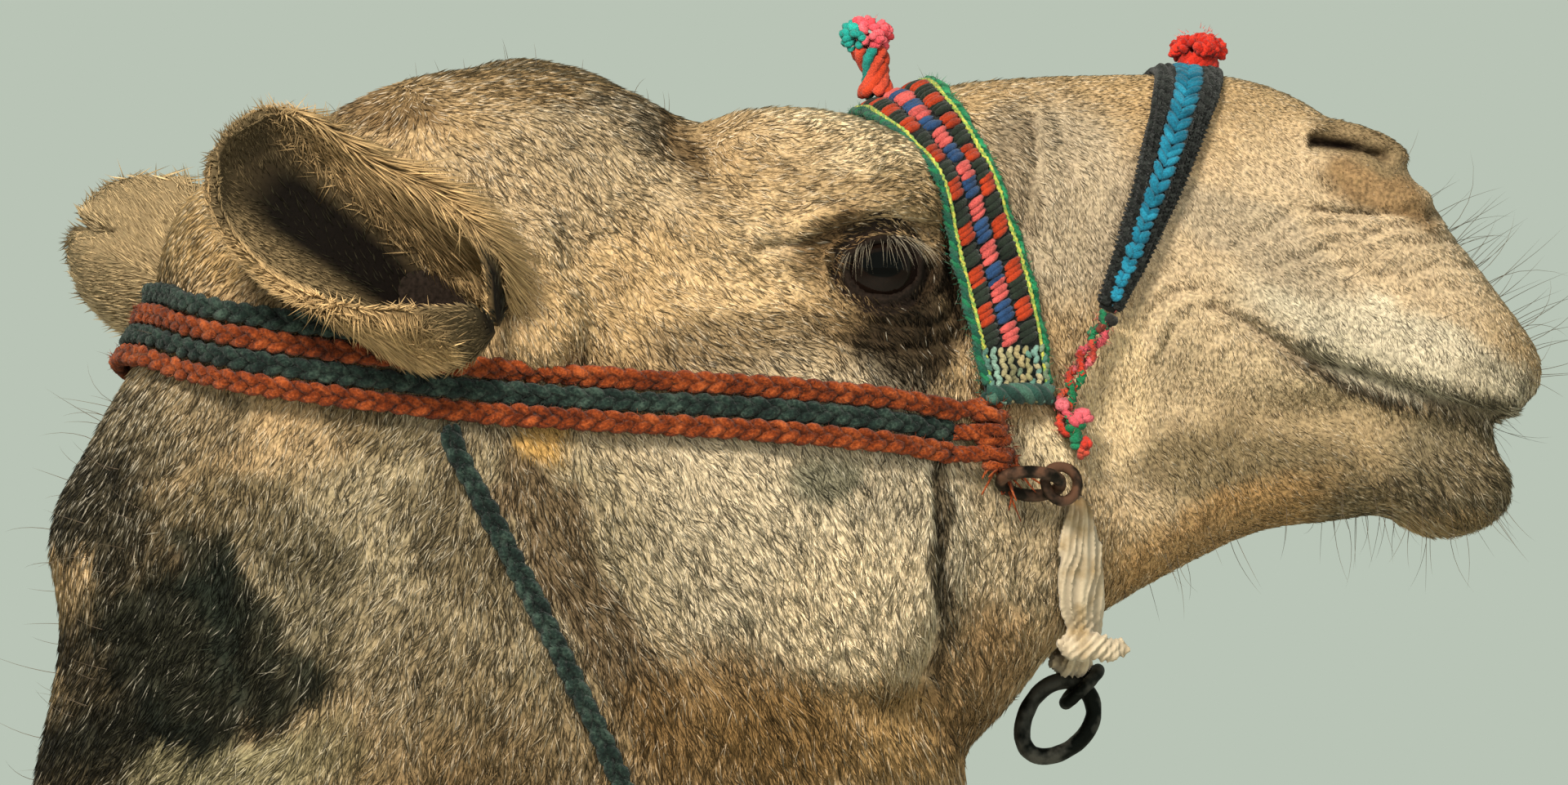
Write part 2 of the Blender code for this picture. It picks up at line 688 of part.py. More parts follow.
def cleared(points, lift):
    """The points moved outwards, so that the lines between them keep lift above the animal."""
    for _ in range(8):
        for i in range(len(points) - 1):
            for share in (0.25, 0.5, 0.75):
                between = points[i].lerp(points[i + 1], share)
                push = lifted(between, lift) - between
                points[i] += push * (1 - share)
                points[i + 1] += push * share
    return points


def draped(points, lift, step, rounds=10):
    """The points pulled tight over the head, lift above it."""
    points = [lifted(point, lift) for point in spaced(points, step)]
    for _ in range(rounds):
        pulled = [(a + 2 * b + c) / 4 for a, b, c in zip(points, points[1:], points[2:])]
        points = [points[0], *(lifted(point, lift) for point in pulled), points[-1]]
    return cleared(points, lift)


def on_side(x, z, side, lift):
    """A point on one side of the head, lift above its surface."""
    hit = outermost(at_head(x, z), Vector((0, side, 0)))
    return lifted(hit + Vector((0, side * lift, 0)), lift)


def tube(name, points, radius, material, resolution=1):
    """A rope or a rod along the points, as a capped mesh."""
    curve = bpy.data.curves.new(name, "CURVE")
    curve.dimensions = "3D"
    curve.bevel_depth = radius
    curve.bevel_resolution = resolution
    curve.use_fill_caps = True
    spline = curve.splines.new("POLY")
    spline.points.add(len(points) - 1)
    for point, place in zip(spline.points, points):
        point.co = (*place, 1)
    made = bpy.data.objects.new(name, curve)
    camel.objects.link(made)
    made = settle(made)
    made.data.materials.clear()
    made.data.materials.append(material)
    return made


def sideways(points):
    """At each point of a laid line, the direction across it and along the surface."""
    across = []
    for i, point in enumerate(points):
        ahead = points[min(i + 1, len(points) - 1)] - points[max(i - 1, 0)]
        feet = [surface.find_nearest(point)[0] for surface in surfaces]
        near = min(feet, key=lambda foot: (foot - point).length)
        across.append(ahead.cross(point - near).normalized())
    return across


def beside(points, distance, lift):
    """A line laid next to the points, at that distance along the surface."""
    moved = [point + side * distance for point, side in zip(points, sideways(points))]
    moved = cleared([lifted(point, lift) for point in moved], lift)
    pairs = [(point, place - point) for point, place in zip(points, moved)]
    return [point + away.normalized() * max(away.length, abs(distance)) for point, away in pairs]


def strap(name, points, half_widths, half_thickness, material):
    """A flat band along the points that follows the head, as wide as told at each point."""
    sides = sideways(points)
    outs = []
    for i, side in enumerate(sides):
        ahead = points[min(i + 1, len(points) - 1)] - points[max(i - 1, 0)]
        outs.append(side.cross(ahead).normalized())
    lower, upper = [], []
    for share in (-1, -0.5, 0, 0.5, 1):
        line = [place + side * half * share for place, side, half in zip(points, sides, half_widths)]
        line = cleared([lifted(place, STRAP_LIFT) for place in line], STRAP_LIFT)
        high = half_thickness * (1.4 if abs(share) == 1 else 2.0)
        lower.append(line)
        upper.append([place + out * high for place, out in zip(line, outs)])
    return joined(name, [loft(list(zip(*upper, *reversed(lower))))], material=material)


def iron_ring(name, centre, size, normal):
    """A round iron ring."""
    turn = Vector(normal).to_track_quat("Z", "Y").to_euler()
    bpy.ops.mesh.primitive_torus_add(
        location=centre, rotation=turn, major_radius=size[0], minor_radius=size[1],
        major_segments=14, minor_segments=6,
    )
    made = bpy.context.object
    made.name = name
    made.data.materials.append(IRON)
    for collection in list(made.users_collection):
        collection.objects.unlink(made)
    camel.objects.link(made)
    return made


def tassel(name, foot, tilt, profile, material):
    """A turned stem with a tuft on top; the profile holds radius and height, from the top down."""
    mesh = bpy.data.meshes.new(name)
    edges = [(i, i + 1) for i in range(len(profile) - 1)]
    mesh.from_pydata([(radius, 0, height) for radius, height in profile], edges, [])
    made = add_object(name, mesh, material)
    made.location = foot
    made.rotation_euler.y = math.radians(tilt)
    spin = made.modifiers.new("turn", "SCREW")
    spin.steps = spin.render_steps = 10
    spin.use_merge_vertices = True
    spin.merge_threshold = 0.00005
    return settle(made)


# ---------------------------------------------------------------- halter

CHEEK_LINE = [(0.031, -0.0725), (-0.071, -0.062), (-0.179, -0.058), (-0.245, -0.046), (-0.302, -0.035)]
THROAT_LINE = [(-0.184, -0.0765), (-0.155, -0.131), (-0.126, -0.191), (-0.096, -0.260), (-0.060, -0.330)]
BROW_LINE = [(0.041, -0.054), (0.038, -0.026), (0.029, 0.009), (0.011, 0.041), (0.001, 0.070)]
NOSE_LINE = [(0.083, -0.022), (0.090, -0.005), (0.099, 0.019), (0.111, 0.048), (0.126, 0.075)]
WRAP_LINE = [(0.066, -0.096), (0.067, -0.114), (0.068, -0.132), (0.072, -0.160)]
CORD_LINE = [(0.0750, -0.0330), (0.069, -0.042), (0.066, -0.056), (0.068, -0.076)]
LASHING_LINE = [(0.0295, -0.061), (0.0305, -0.070), (0.0330, -0.080)]
ROPE_STEP = 0.024
ROPE_LIFT = 0.0010
CROWN_REACH = 0.46  # the fourth rope's share of the others' length
LASHING_RADIUS = 0.0058

ropes = []
cheek_path = draped(girth(CHEEK_LINE), ROPE_RADIUS + ROPE_LIFT, ROPE_STEP)
for name, row, reach, material in (
    ("rope_teal_middle", 0, 1.0, TEAL_WOOL),
    ("rope_rust_upper", 1, 1.0, RUST_WOOL),
    ("rope_rust_lower", -1, 1.0, RUST_WOOL),
    ("rope_teal_crown", 2, CROWN_REACH, TEAL_WOOL),
):
    cut = round(len(cheek_path) * (1 - reach) / 2)
    path = cheek_path[cut : len(cheek_path) - cut]
    path = beside(path, row * ROPE_PITCH, ROPE_RADIUS + ROPE_LIFT) if row else path
    ropes.append(tube(name, path, ROPE_RADIUS, material))
path = draped(girth(THROAT_LINE), THROAT_ROPE_RADIUS + ROPE_LIFT, ROPE_STEP)
tube("rope_throat", path, THROAT_ROPE_RADIUS, TEAL_WOOL)

band_path = draped(girth(BROW_LINE), BAND_HALF_THICKNESS + GAP, 0.011)
strap("brow_band", band_path, [BAND_HALF_WIDTH] * len(band_path), BAND_HALF_THICKNESS, CHECK_WOOL)
nose_path = draped(girth(NOSE_LINE), NOSEBAND_HALF_THICKNESS + GAP, 0.011)
half_way = (len(nose_path) - 1) / 2
taper = [0.0122 - 0.0080 * (abs(i - half_way) / half_way) ** 1.6 for i in range(len(nose_path))]
strap("nose_band", nose_path, taper, NOSEBAND_HALF_THICKNESS, BLACK_WOOL)
wrap_path = draped(girth(WRAP_LINE, bound=130), WRAP_HALF_THICKNESS + GAP, 0.012)
swell = [WRAP_HALF_WIDTH] * len(wrap_path)
strap("chin_wrap", wrap_path, swell, WRAP_HALF_THICKNESS, WHITE_CLOTH)

for side_name, side in SIDES.items():
    lift = LASHING_RADIUS + GAP
    path = [on_side(x, z, side, lift) for x, z in LASHING_LINE]
    tube(f"lashing_{side_name}", path, LASHING_RADIUS, RUST_WOOL, 2)
    path = [on_side(x, z, side, CORD_RADIUS + GAP) for x, z in CORD_LINE]
    tube(f"cord_{side_name}", path, CORD_RADIUS, PINK_WOOL)
    ring_place = on_side(0.045, -0.090, side, SIDE_RING[0] + SIDE_RING[1] + 0.001)
    iron_ring(f"ring_{side_name}", ring_place, SIDE_RING, (0.10, side * -0.35, 1))
    hook_place = ring_place + Vector((SIDE_RING[0] + 0.0005, 0, 0))
    iron_ring(f"hook_{side_name}", hook_place, HOOK_RING, (0.25, side, 0.15))

jaw_low = min(point.z for point in wrap_path) - WRAP_HALF_THICKNESS - 2 * STRAP_LIFT
swivel_place = Vector((at_head(0.080, 0).x, 0, jaw_low - 4 * GAP - SWIVEL_RING[0] - SWIVEL_RING[1]))
iron_ring("swivel", swivel_place, SWIVEL_RING, (0.7, 0.1, -0.7))
hang = Vector((-0.58, 0, -0.81)).normalized() * (LEAD_RING[0] + 0.0003)
iron_ring("lead_ring", swivel_place + hang, LEAD_RING, Vector((0.12, -1, 0.12)).cross(hang).cross(hang))

band_top = max(point.z for point in band_path) + BAND_HALF_THICKNESS + STRAP_LIFT + GAP
BROW_TASSEL = [(0, 0.0300), (0.0070, 0.0285), (0.0105, 0.0220), (0.0095, 0.0160), (0.0060, 0.0125),
               (0.0058, 0.0020), (0.0045, 0.0), (0, 0.0)]
tassel("tassel_brow", (at_head(-0.001, 0).x, 0, band_top), -22, BROW_TASSEL, PINK_WOOL)
nose_top = max(point.z for point in nose_path) + NOSEBAND_HALF_THICKNESS + 2 * STRAP_LIFT
NOSE_TASSEL = [(0, 0.0125), (0.0080, 0.0120), (0.0112, 0.0090), (0.0108, 0.0055), (0.0085, 0.0040),
               (0.0085, 0.0010), (0.0075, 0.0), (0, 0.0)]
tassel("tassel_nose", (at_head(0.127, 0).x, 0, nose_top), 3, NOSE_TASSEL, RED_WOOL)

# ---------------------------------------------------------------- ears

EAR_HALF_WIDTH, EAR_WALL = 0.036, 0.0055
EARS = {  # length, which way the ear points, and which way its cup opens (x, outwards, z)
    "right": (0.130, (-0.76, 0.26, 0.59), (0.30, 0.92, 0.15)),
    "left": (0.138, (-0.91, 0.25, 0.42), (0.10, 0.85, 0.40)),
}


def ear(side_name, side):
    """A cupped leaf, rolled into a tube at its root."""
    root = at_head(-0.180, -0.034, side * 0.074)
    length, (ax, ay, az), (ox, oy, oz) = EARS[side_name]
    axis = Vector((ax, side * ay, az)).normalized()
    opening = Vector((ox, side * oy, oz))
    opening = (opening - axis * opening.dot(axis)).normalized()
    across = axis.cross(opening).normalized()
    bm = bmesh.new()
    bmesh.ops.create_grid(bm, x_segments=7, y_segments=6, size=1)
    for vertex in bm.verts:
        v, u = vertex.co.x, (vertex.co.y + 1) / 2
        width = EAR_HALF_WIDTH * (0.52 + 0.85 * u) * max(0.0, 1 - u**4) ** 0.45
        width = max(width, 0.006)
        curl = math.radians(135 - 70 * u)
        radius = width / math.sin(min(curl, math.pi / 2))
        turn = v * curl
        rise = radius * (0.45 - math.cos(turn)) - 0.006 * u * u
        vertex.co = root + axis * length * u + across * radius * math.sin(turn) + opening * rise
    mesh = bpy.data.meshes.new("leaf")
    bm.to_mesh(mesh)
    bm.free()
    leaf = add_object("leaf", mesh, None, cutters)
    wall = leaf.modifiers.new("wall", "SOLIDIFY")
    wall.thickness = EAR_WALL
    wall.offset = 0
    leaf = settle(leaf)
    carve(leaf, f"ear_{side_name}", EAR, [], [grown(head, GAP), *(grown(rope, GAP) for rope in ropes)])
    bpy.data.objects.remove(leaf, do_unlink=True)


for side_name, side in SIDES.items():
    ear(side_name, side)

# ---------------------------------------------------------------- centring over the floor

corners = [made.matrix_world @ vertex.co for made in camel.objects for vertex in made.data.vertices]
middle_x = (min(corner.x for corner in corners) + max(corner.x for corner in corners)) / 2
middle_y = (min(corner.y for corner in corners) + max(corner.y for corner in corners)) / 2
for made in camel.objects:
    made.location -= Vector((middle_x, middle_y, 0))
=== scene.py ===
"""The dressed look of a life-size dromedary camel that stands still in a plaited wool halter.

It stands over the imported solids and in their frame: metres, +Z up, the animal looks along +X.
"""

import math

import bmesh
import bpy
import numpy as np
from mathutils import Euler, Matrix, Vector
from mathutils.bvhtree import BVHTree


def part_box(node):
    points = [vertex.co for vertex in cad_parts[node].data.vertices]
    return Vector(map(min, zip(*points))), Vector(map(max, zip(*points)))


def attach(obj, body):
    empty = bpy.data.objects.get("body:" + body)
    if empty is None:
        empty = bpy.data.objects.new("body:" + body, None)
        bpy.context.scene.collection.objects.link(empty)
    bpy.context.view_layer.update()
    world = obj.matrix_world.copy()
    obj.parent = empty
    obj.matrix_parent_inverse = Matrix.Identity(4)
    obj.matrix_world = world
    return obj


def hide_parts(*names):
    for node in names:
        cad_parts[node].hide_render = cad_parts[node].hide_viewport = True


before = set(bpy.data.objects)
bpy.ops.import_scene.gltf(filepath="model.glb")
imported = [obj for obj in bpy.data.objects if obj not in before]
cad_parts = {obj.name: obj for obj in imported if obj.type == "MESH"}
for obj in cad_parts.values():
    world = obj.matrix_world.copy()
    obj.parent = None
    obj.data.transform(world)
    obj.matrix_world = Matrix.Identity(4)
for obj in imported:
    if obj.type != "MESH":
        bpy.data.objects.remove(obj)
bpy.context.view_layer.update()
bpy.ops.object.select_all(action="DESELECT")

# ---------------------------------------------------------------- camera, floor and light
# A long lens well back from the animal and a little below its head, as a person on the ground
# sees it. The floor and the surroundings are plain and pale, and the lamps are large and soft.

eye_low, eye_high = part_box("eye_right")
eye_middle = (Vector(eye_low) + Vector(eye_high)) / 2
# the head's reference point, from which all else on the head is set out
HEAD = Vector((eye_middle.x + 0.013, 0.0005, eye_middle.z + 0.005))


def paint(code):
    """An sRGB hex colour as linear red, green, blue and alpha."""
    channels = [int(code[i : i + 2], 16) / 255 for i in (1, 3, 5)]
    return (*(c / 12.92 if c < 0.04045 else ((c + 0.055) / 1.055) ** 2.4 for c in channels), 1.0)


def finish_of(name, base, roughness, **sockets):
    """A new material with a Principled shader and its plain settings."""
    material = bpy.data.materials.new(name)
    material.use_nodes = True
    shader = material.node_tree.nodes["Principled BSDF"]
    shader.inputs["Base Color"].default_value = paint(base)
    shader.inputs["Roughness"].default_value = roughness
    for socket, value in sockets.items():
        shader.inputs[socket.replace("_", " ")].default_value = value
    return material


def add_node(material, kind, links=None, **settings):
    """One node with its settings; links gives a socket's value or the output that feeds it."""
    made = material.node_tree.nodes.new("ShaderNode" + kind)
    for name, value in settings.items():
        setattr(made, name, value)
    for socket, value in (links or {}).items():
        if isinstance(value, bpy.types.NodeSocket):
            material.node_tree.links.new(value, made.inputs[socket])
        else:
            made.inputs[socket].default_value = value
    return made


def mixed(material, share, first, second, blend="MIX"):
    """The output of a node that blends two colours by a share."""
    made = add_node(material, "Mix", {0: share, 6: first, 7: second}, data_type="RGBA", blend_type=blend)
    return made.outputs[2]


def feed_shader(material, **outputs):
    """Feeds the shader's sockets of those names from the outputs of nodes."""
    shader = material.node_tree.nodes["Principled BSDF"]
    for socket, output in outputs.items():
        material.node_tree.links.new(output, shader.inputs[socket.replace("_", " ")])


AIM = HEAD + Vector((-0.040, 0.0, -0.050))
TURN, RISE = math.radians(-9), math.radians(4)  # how far the view is turned and looks up
BACK = Vector((math.sin(TURN) * math.cos(RISE), -math.cos(TURN) * math.cos(RISE), -math.sin(RISE)))
DISTANCE = 9.0
VIEW_WIDTH = 0.6144  # metres seen across, at the head
SENSOR = 36  # millimetres

bpy.ops.object.camera_add(location=AIM + BACK * DISTANCE)
camera = bpy.context.object
camera.name = "camera"
camera.rotation_euler = BACK.to_track_quat("Z", "Y").to_euler()
camera.data.sensor_width = SENSOR
camera.data.lens = SENSOR * DISTANCE / VIEW_WIDTH
camera.data.clip_end = 60
bpy.context.scene.camera = camera

bpy.ops.mesh.primitive_plane_add(size=40, location=(0, 0, 0))
floor = bpy.context.object
floor.name = "floor"
# Dull floor paint, faintly mottled, that throws soft pale light back up.
floor_paint = finish_of("pale_floor_paint", "#c9c8ba", 0.85)
speck = add_node(floor_paint, "TexNoise", {"Scale": 60.0, "Detail": 3.0})
tone = mixed(floor_paint, speck.outputs["Fac"], paint("#c6c5b7"), paint("#cdccbf"))
feed_shader(floor_paint, Base_Color=tone)
floor.data.materials.append(floor_paint)

sky = bpy.data.worlds.new("pale_surroundings")
bpy.context.scene.world = sky
sky.use_nodes = True
sky.node_tree.nodes["Background"].inputs["Color"].default_value = paint("#b9c4b6")
sky.node_tree.nodes["Background"].inputs["Strength"].default_value = 1.0
bpy.context.scene.view_settings.view_transform = "Standard"

for name, place, size, power, colour in (
    ("key_lamp", (-0.7, -2.7, 3.8), 0.8, 225, "#fff6ea"),
    ("front_lamp", (1.2, -3.6, 2.2), 2.2, 84, "#fffaf4"),
    ("far_side_lamp", (1.0, 3.2, 3.4), 2.0, 60, "#f4f2ea"),
    ("rear_lamp", (-3.4, -0.4, 3.0), 2.2, 70, "#f4f2ea"),
):
    bpy.ops.object.light_add(type="AREA", location=Vector(place) + Vector((HEAD.x * 0.4, 0, 0)))
    lamp = bpy.context.object
    lamp.name = name
    lamp.data.shape = "DISK"
    lamp.data.size = size
    lamp.data.energy = power
    lamp.data.color = paint(colour)[:3]
    lamp.visible_glossy = "rear" in name  # the wet eyes mirror the pale surroundings alone
    aimed = Vector((HEAD.x - 0.1, 0, 2.1)) if "rear" not in name else Vector((-0.2, 0, 1.3))
    lamp.rotation_euler = (lamp.location - aimed).to_track_quat("Z", "Y").to_euler()

# ---------------------------------------------------------------- skin
# One unbroken hide from the lips to the hooves, a coat's depth inside the solids. The head is
# drawn through sections of skull, jaw and neck with bulges for bone and muscle, at a fine grain.
# The body takes its shape from the solids, and the two are bridged across the neck.

SKULL = [  # x, top, bottom, half width
    (-0.288, 0.004, -0.05, 0.036),
    (-0.276, 0.028, -0.085, 0.056),
    (-0.248, 0.044, -0.11, 0.07),
    (-0.208, 0.059, -0.12, 0.079),
    (-0.158, 0.0815, -0.12, 0.081),
    (-0.124, 0.08, -0.12, 0.079),
    (-0.096, 0.0675, -0.12, 0.077),
    (-0.068, 0.0575, -0.12, 0.077),
    (-0.035, 0.055, -0.12, 0.076),
    (0.000, 0.063, -0.12, 0.07),
    (0.024, 0.0745, -0.11, 0.062),
    (0.062, 0.079, -0.1, 0.055),
    (0.107, 0.0805, -0.085, 0.05),
    (0.138, 0.0795, -0.07, 0.047),
    (0.163, 0.0715, -0.06, 0.046),
    (0.186, 0.056, -0.054, 0.046),
    (0.208, 0.0385, -0.055, 0.046),
    (0.229, 0.013, -0.056, 0.043),
    (0.246, -0.009, -0.056, 0.037),
    (0.257, -0.023, -0.053, 0.028),
    (0.263, -0.032, -0.048, 0.014),
]
JAW = [  # x, top, bottom, half width
    (-0.03, -0.06, -0.19, 0.052),
    (0.02, -0.05, -0.196, 0.056),
    (0.046, -0.04, -0.18, 0.054),
    (0.07, -0.04, -0.151, 0.05),
    (0.096, -0.04, -0.133, 0.046),
    (0.125, -0.04, -0.1165, 0.042),
    (0.152, -0.05, -0.1045, 0.038),
    (0.18, -0.055, -0.1005, 0.035),
    (0.208, -0.062, -0.096, 0.035),
    (0.229, -0.0655, -0.098, 0.033),
    (0.242, -0.068, -0.0965, 0.026),
    (0.249, -0.0745, -0.0885, 0.013),
]
NECK = [  # nape x, z, throat x, z, half width
    (-0.25, 0.03, -0.14, -0.01, 0.05),
    (-0.281, -0.012, -0.11, -0.05, 0.068),
    (-0.3115, -0.06, -0.06, -0.1, 0.078),
    (-0.333, -0.105, 0.000, -0.15, 0.084),
    (-0.329, -0.15, 0.036, -0.198, 0.087),
    (-0.341, -0.215, 0.012, -0.235, 0.086),
    (-0.35, -0.28, -0.034, -0.285, 0.083),
    (-0.357, -0.35, -0.068, -0.35, 0.08),
    (-0.368, -0.43, -0.092, -0.43, 0.079),
    (-0.385, -0.52, -0.118, -0.535, 0.08),
    (-0.425, -0.6, -0.165, -0.68, 0.084),
]
BULGES = [  # centre, radii, tilt in degrees; each stands on both sides
    ((-0.036, 0.048, 0.030), (0.060, 0.040, 0.031), 8),  # brow
    ((-0.066, 0.050, 0.010), (0.056, 0.034, 0.036), 0),
    ((-0.066, 0.050, -0.040), (0.120, 0.036, 0.034), 6),  # cheek arch
    ((-0.012, 0.050, -0.024), (0.036, 0.026, 0.018), 8),  # below the eye
    ((0.012, 0.042, -0.040), (0.040, 0.028, 0.040), 20),
    ((-0.066, 0.040, -0.100), (0.106, 0.050, 0.092), 14),  # chewing muscle
    ((-0.112, 0.030, -0.100), (0.150, 0.055, 0.096), 14),
    ((0.034, 0.026, -0.088), (0.056, 0.038, 0.080), 0),
    ((-0.156, 0.036, 0.024), (0.090, 0.050, 0.053), 0),  # temple
    ((-0.148, 0.078, -0.030), (0.022, 0.021, 0.026), 0),  # root of the ear
    ((-0.153, 0.076, -0.002), (0.018, 0.020, 0.022), 0),
    ((0.186, 0.022, 0.044), (0.022, 0.020, 0.011), 20),  # nostril wing
    ((0.190, 0.024, 0.018), (0.034, 0.024, 0.016), 24),
    ((0.205, 0.018, -0.030), (0.056, 0.032, 0.034), 22),  # upper lip
    ((0.130, 0.022, -0.016), (0.066, 0.030, 0.046), 15),
    ((0.223, 0.010, -0.084), (0.028, 0.024, 0.022), 0),  # chin
]
FLESH = ["neck_upper", "neck_lower", "chest", "barrel", "rump", "hump", "tail", "tail_tuft"]
FLESH += [f"{leg}leg_{band}_{side}" for leg in ("fore", "hind")
          for band in ("upper", "lower", "foot") for side in ("left", "right")]
HEAD_GRAIN, BODY_GRAIN = 0.0034, 0.0145  # the size of the faces
NECK_CUT = HEAD.z - 0.300  # the level at which head and body are bridged
NECK_BACK = HEAD.x - 0.55  # the neck lies ahead of this
LOFT_SIDES = 40


def smooth_through(rows, steps):
    """The rows with steps more between each two, on smooth curves through all."""
    rows = np.array(rows, float)
    padded = np.vstack([rows[0], rows, rows[-1]])
    out = []
    for i in range(len(rows) - 1):
        before, start, end, after = padded[i : i + 4]
        for t in np.arange(steps) / steps:
            second = 2 * before - 5 * start + 4 * end - after
            third = 3 * start - before - 3 * end + after
            out.append(0.5 * (2 * start + (end - before) * t + second * t * t + third * t**3))
    return np.array([*out, rows[-1]])


def close_loops(bm, loops):
    """Faces between each two loops of points, and over both ends."""
    for near, far in zip(loops, loops[1:]):
        for i in range(len(near)):
            bm.faces.new((near[i - 1], near[i], far[i], far[i - 1]))
    bm.faces.new(loops[0])
    bm.faces.new(loops[-1])


def add_loft(bm, rows, square):
    """A capped loft into bm, through rows of upper x, z, lower x, z and half width."""
    turns = np.linspace(0, 2 * math.pi, LOFT_SIDES, endpoint=False)
    along = np.sign(np.cos(turns)) * np.abs(np.cos(turns)) ** square
    across = np.sign(np.sin(turns)) * np.abs(np.sin(turns)) ** square
    loops = []
    for top_x, top_z, low_x, low_z, half in smooth_through(rows, 4):
        middle_x, middle_z = (top_x + low_x) / 2, (top_z + low_z) / 2
        reach_x, reach_z = (top_x - low_x) / 2, (top_z - low_z) / 2
        loops.append([
            bm.verts.new(HEAD + Vector((middle_x + reach_x * a, half * b, middle_z + reach_z * a)))
            for a, b in zip(along, across)
        ])
    close_loops(bm, loops)


def make_object(name, mesh):
    """A mesh as an object of the scene, selected and active, with nothing else selected."""
    made = bpy.data.objects.new(name, mesh)
    bpy.context.scene.collection.objects.link(made)
    bpy.ops.object.select_all(action="DESELECT")
    made.select_set(True)
    bpy.context.view_layer.objects.active = made
    return made


def apply_modifier(made, kind, **settings):
    """Adds a modifier with its settings and applies it."""
    added = made.modifiers.new(kind.lower(), kind)
    for name, value in settings.items():
        setattr(added, name, value)
    bpy.context.view_layer.objects.active = made
    bpy.ops.object.modifier_apply(modifier=added.name)


def mesh_from(bm, name):
    """The bmesh as a new mesh with its faces turned outwards; the bmesh is freed."""
    bmesh.ops.recalc_face_normals(bm, faces=bm.faces)
    mesh = bpy.data.meshes.new(name)
    bm.to_mesh(mesh)
    bm.free()
    return mesh


bm = bmesh.new()
add_loft(bm, [(x, top, x, low, half) for x, top, low, half in SKULL], 0.88)
add_loft(bm, [(x, top, x, low, half) for x, top, low, half in JAW], 0.88)
add_loft(bm, NECK, 1.0)
for centre, radii, tilt in BULGES:
    for side in (-1, 1):
        place = HEAD + Vector((centre[0], centre[1] * side, centre[2]))
        form = Matrix.LocRotScale(place, Euler((0, math.radians(tilt), 0)), Vector(radii))
        bmesh.ops.create_uvsphere(bm, u_segments=32, v_segments=20, radius=1, matrix=form)
head_skin = make_object("head_skin", mesh_from(bm, "head_skin"))
apply_modifier(head_skin, "REMESH", mode="VOXEL", voxel_size=HEAD_GRAIN)
apply_modifier(head_skin, "SMOOTH", factor=0.5, iterations=22)

bm = bmesh.new()
for name in FLESH:
    bm.from_mesh(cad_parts[name].data)
bmesh.ops.remove_doubles(bm, verts=bm.verts, dist=1e-5)
body_skin = make_object("body_skin", mesh_from(bm, "body_skin"))
apply_modifier(body_skin, "REMESH", mode="VOXEL", voxel_size=BODY_GRAIN)
apply_modifier(body_skin, "SMOOTH", factor=0.5, iterations=9)

bm = bmesh.new()
bm.from_mesh(body_skin.data)
ahead = [face for face in bm.faces if face.calc_center_median().x > NECK_BACK]
parts = list({item for face in ahead for item in (face, *face.edges, *face.verts)})
bmesh.ops.bisect_plane(bm, geom=parts, plane_co=(0, 0, NECK_CUT - 0.014), plane_no=(0, 0, 1),
                       clear_outer=True)
fine = bmesh.new()
fine.from_mesh(head_skin.data)
bmesh.ops.bisect_plane(fine, geom=[*fine.verts, *fine.edges, *fine.faces],
                       plane_co=(0, 0, NECK_CUT), plane_no=(0, 0, 1), clear_inner=True)
head_mesh = bpy.data.meshes.new("head_only")
fine.to_mesh(head_mesh)
fine.free()
bm.from_mesh(head_mesh)
rims = [edge for edge in bm.edges if edge.is_boundary]
bmesh.ops.bridge_loops(bm, edges=rims)
bmesh.ops.triangulate(bm, faces=[face for face in bm.faces if len(face.verts) > 4])
joint = [vert for vert in bm.verts if abs(vert.co.z - NECK_CUT) < 0.045 and vert.co.x > NECK_BACK]
for _ in range(10):
    bmesh.ops.smooth_vert(bm, verts=joint, factor=0.5, use_axis_x=True, use_axis_y=True, use_axis_z=True)
# finer faces round the eyes and the nostrils, and along the lips
close = []
for face in bm.faces:
    middle = face.calc_center_median() - HEAD
    by_eye = (middle.x + 0.012) ** 2 + (middle.z + 0.002) ** 2 < 0.036**2 and abs(middle.y) > 0.03
    by_nostril = (middle.x - 0.186) ** 2 + (middle.z - 0.042) ** 2 < 0.026**2
    if by_eye or by_nostril:
        close.append(face)
edges = list({edge for face in close for edge in face.edges})
bmesh.ops.subdivide_edges(bm, edges=edges, cuts=1, use_grid_fill=True, smooth=0.0)
bmesh.ops.triangulate(bm, faces=bm.faces)
skin = make_object("skin", mesh_from(bm, "skin"))
for used in (head_skin, body_skin):
    bpy.data.objects.remove(used, do_unlink=True)

# Sculpting of the skin: folds, lids, nostrils and lips, cut into the flesh before the coat.
# Lines are drawn in side view, from the head's reference point, and worked on both sides.


def read_points(mesh):
    """The mesh's points and its outward normals, as two arrays."""
    points = np.empty(len(mesh.vertices) * 3)
    mesh.vertices.foreach_get("co", points)
    normals = np.empty(len(mesh.vertices) * 3)
    mesh.vertex_normals.foreach_get("vector", normals)
    return points.reshape(-1, 3), normals.reshape(-1, 3)


def away_from_line(places, line):
    """Each place's distance from a line of x, z points in side view."""
    best = np.full(len(places), 9.0)
    for start, end in zip(line, line[1:]):
        start, step = np.array(start), np.subtract(end, start)
        share = np.clip(((places - start) @ step) / (step @ step), 0, 1)
        best = np.minimum(best, np.linalg.norm(places - start - share[:, None] * step, axis=1))
    return best


def near_line(places, line, wide):
    """1 on the line and fading away from it, to about a third where wide is reached."""
    return np.exp(-((away_from_line(places, line) / wide) ** 2))


def ease(share):
    """A share from 0 to 1 that starts and ends softly."""
    return share * share * (3 - 2 * share)


def lens(places, centre, radii, tilt=0.0):
    """How far each place is from an oval's centre, where 1 is on its outline."""
    turn = math.radians(tilt)
    x, z = places[:, 0] - centre[0], places[:, 1] - centre[1]
    along = x * math.cos(turn) + z * math.sin(turn)
    across = -x * math.sin(turn) + z * math.cos(turn)
    return np.hypot(along / radii[0], across / radii[1])


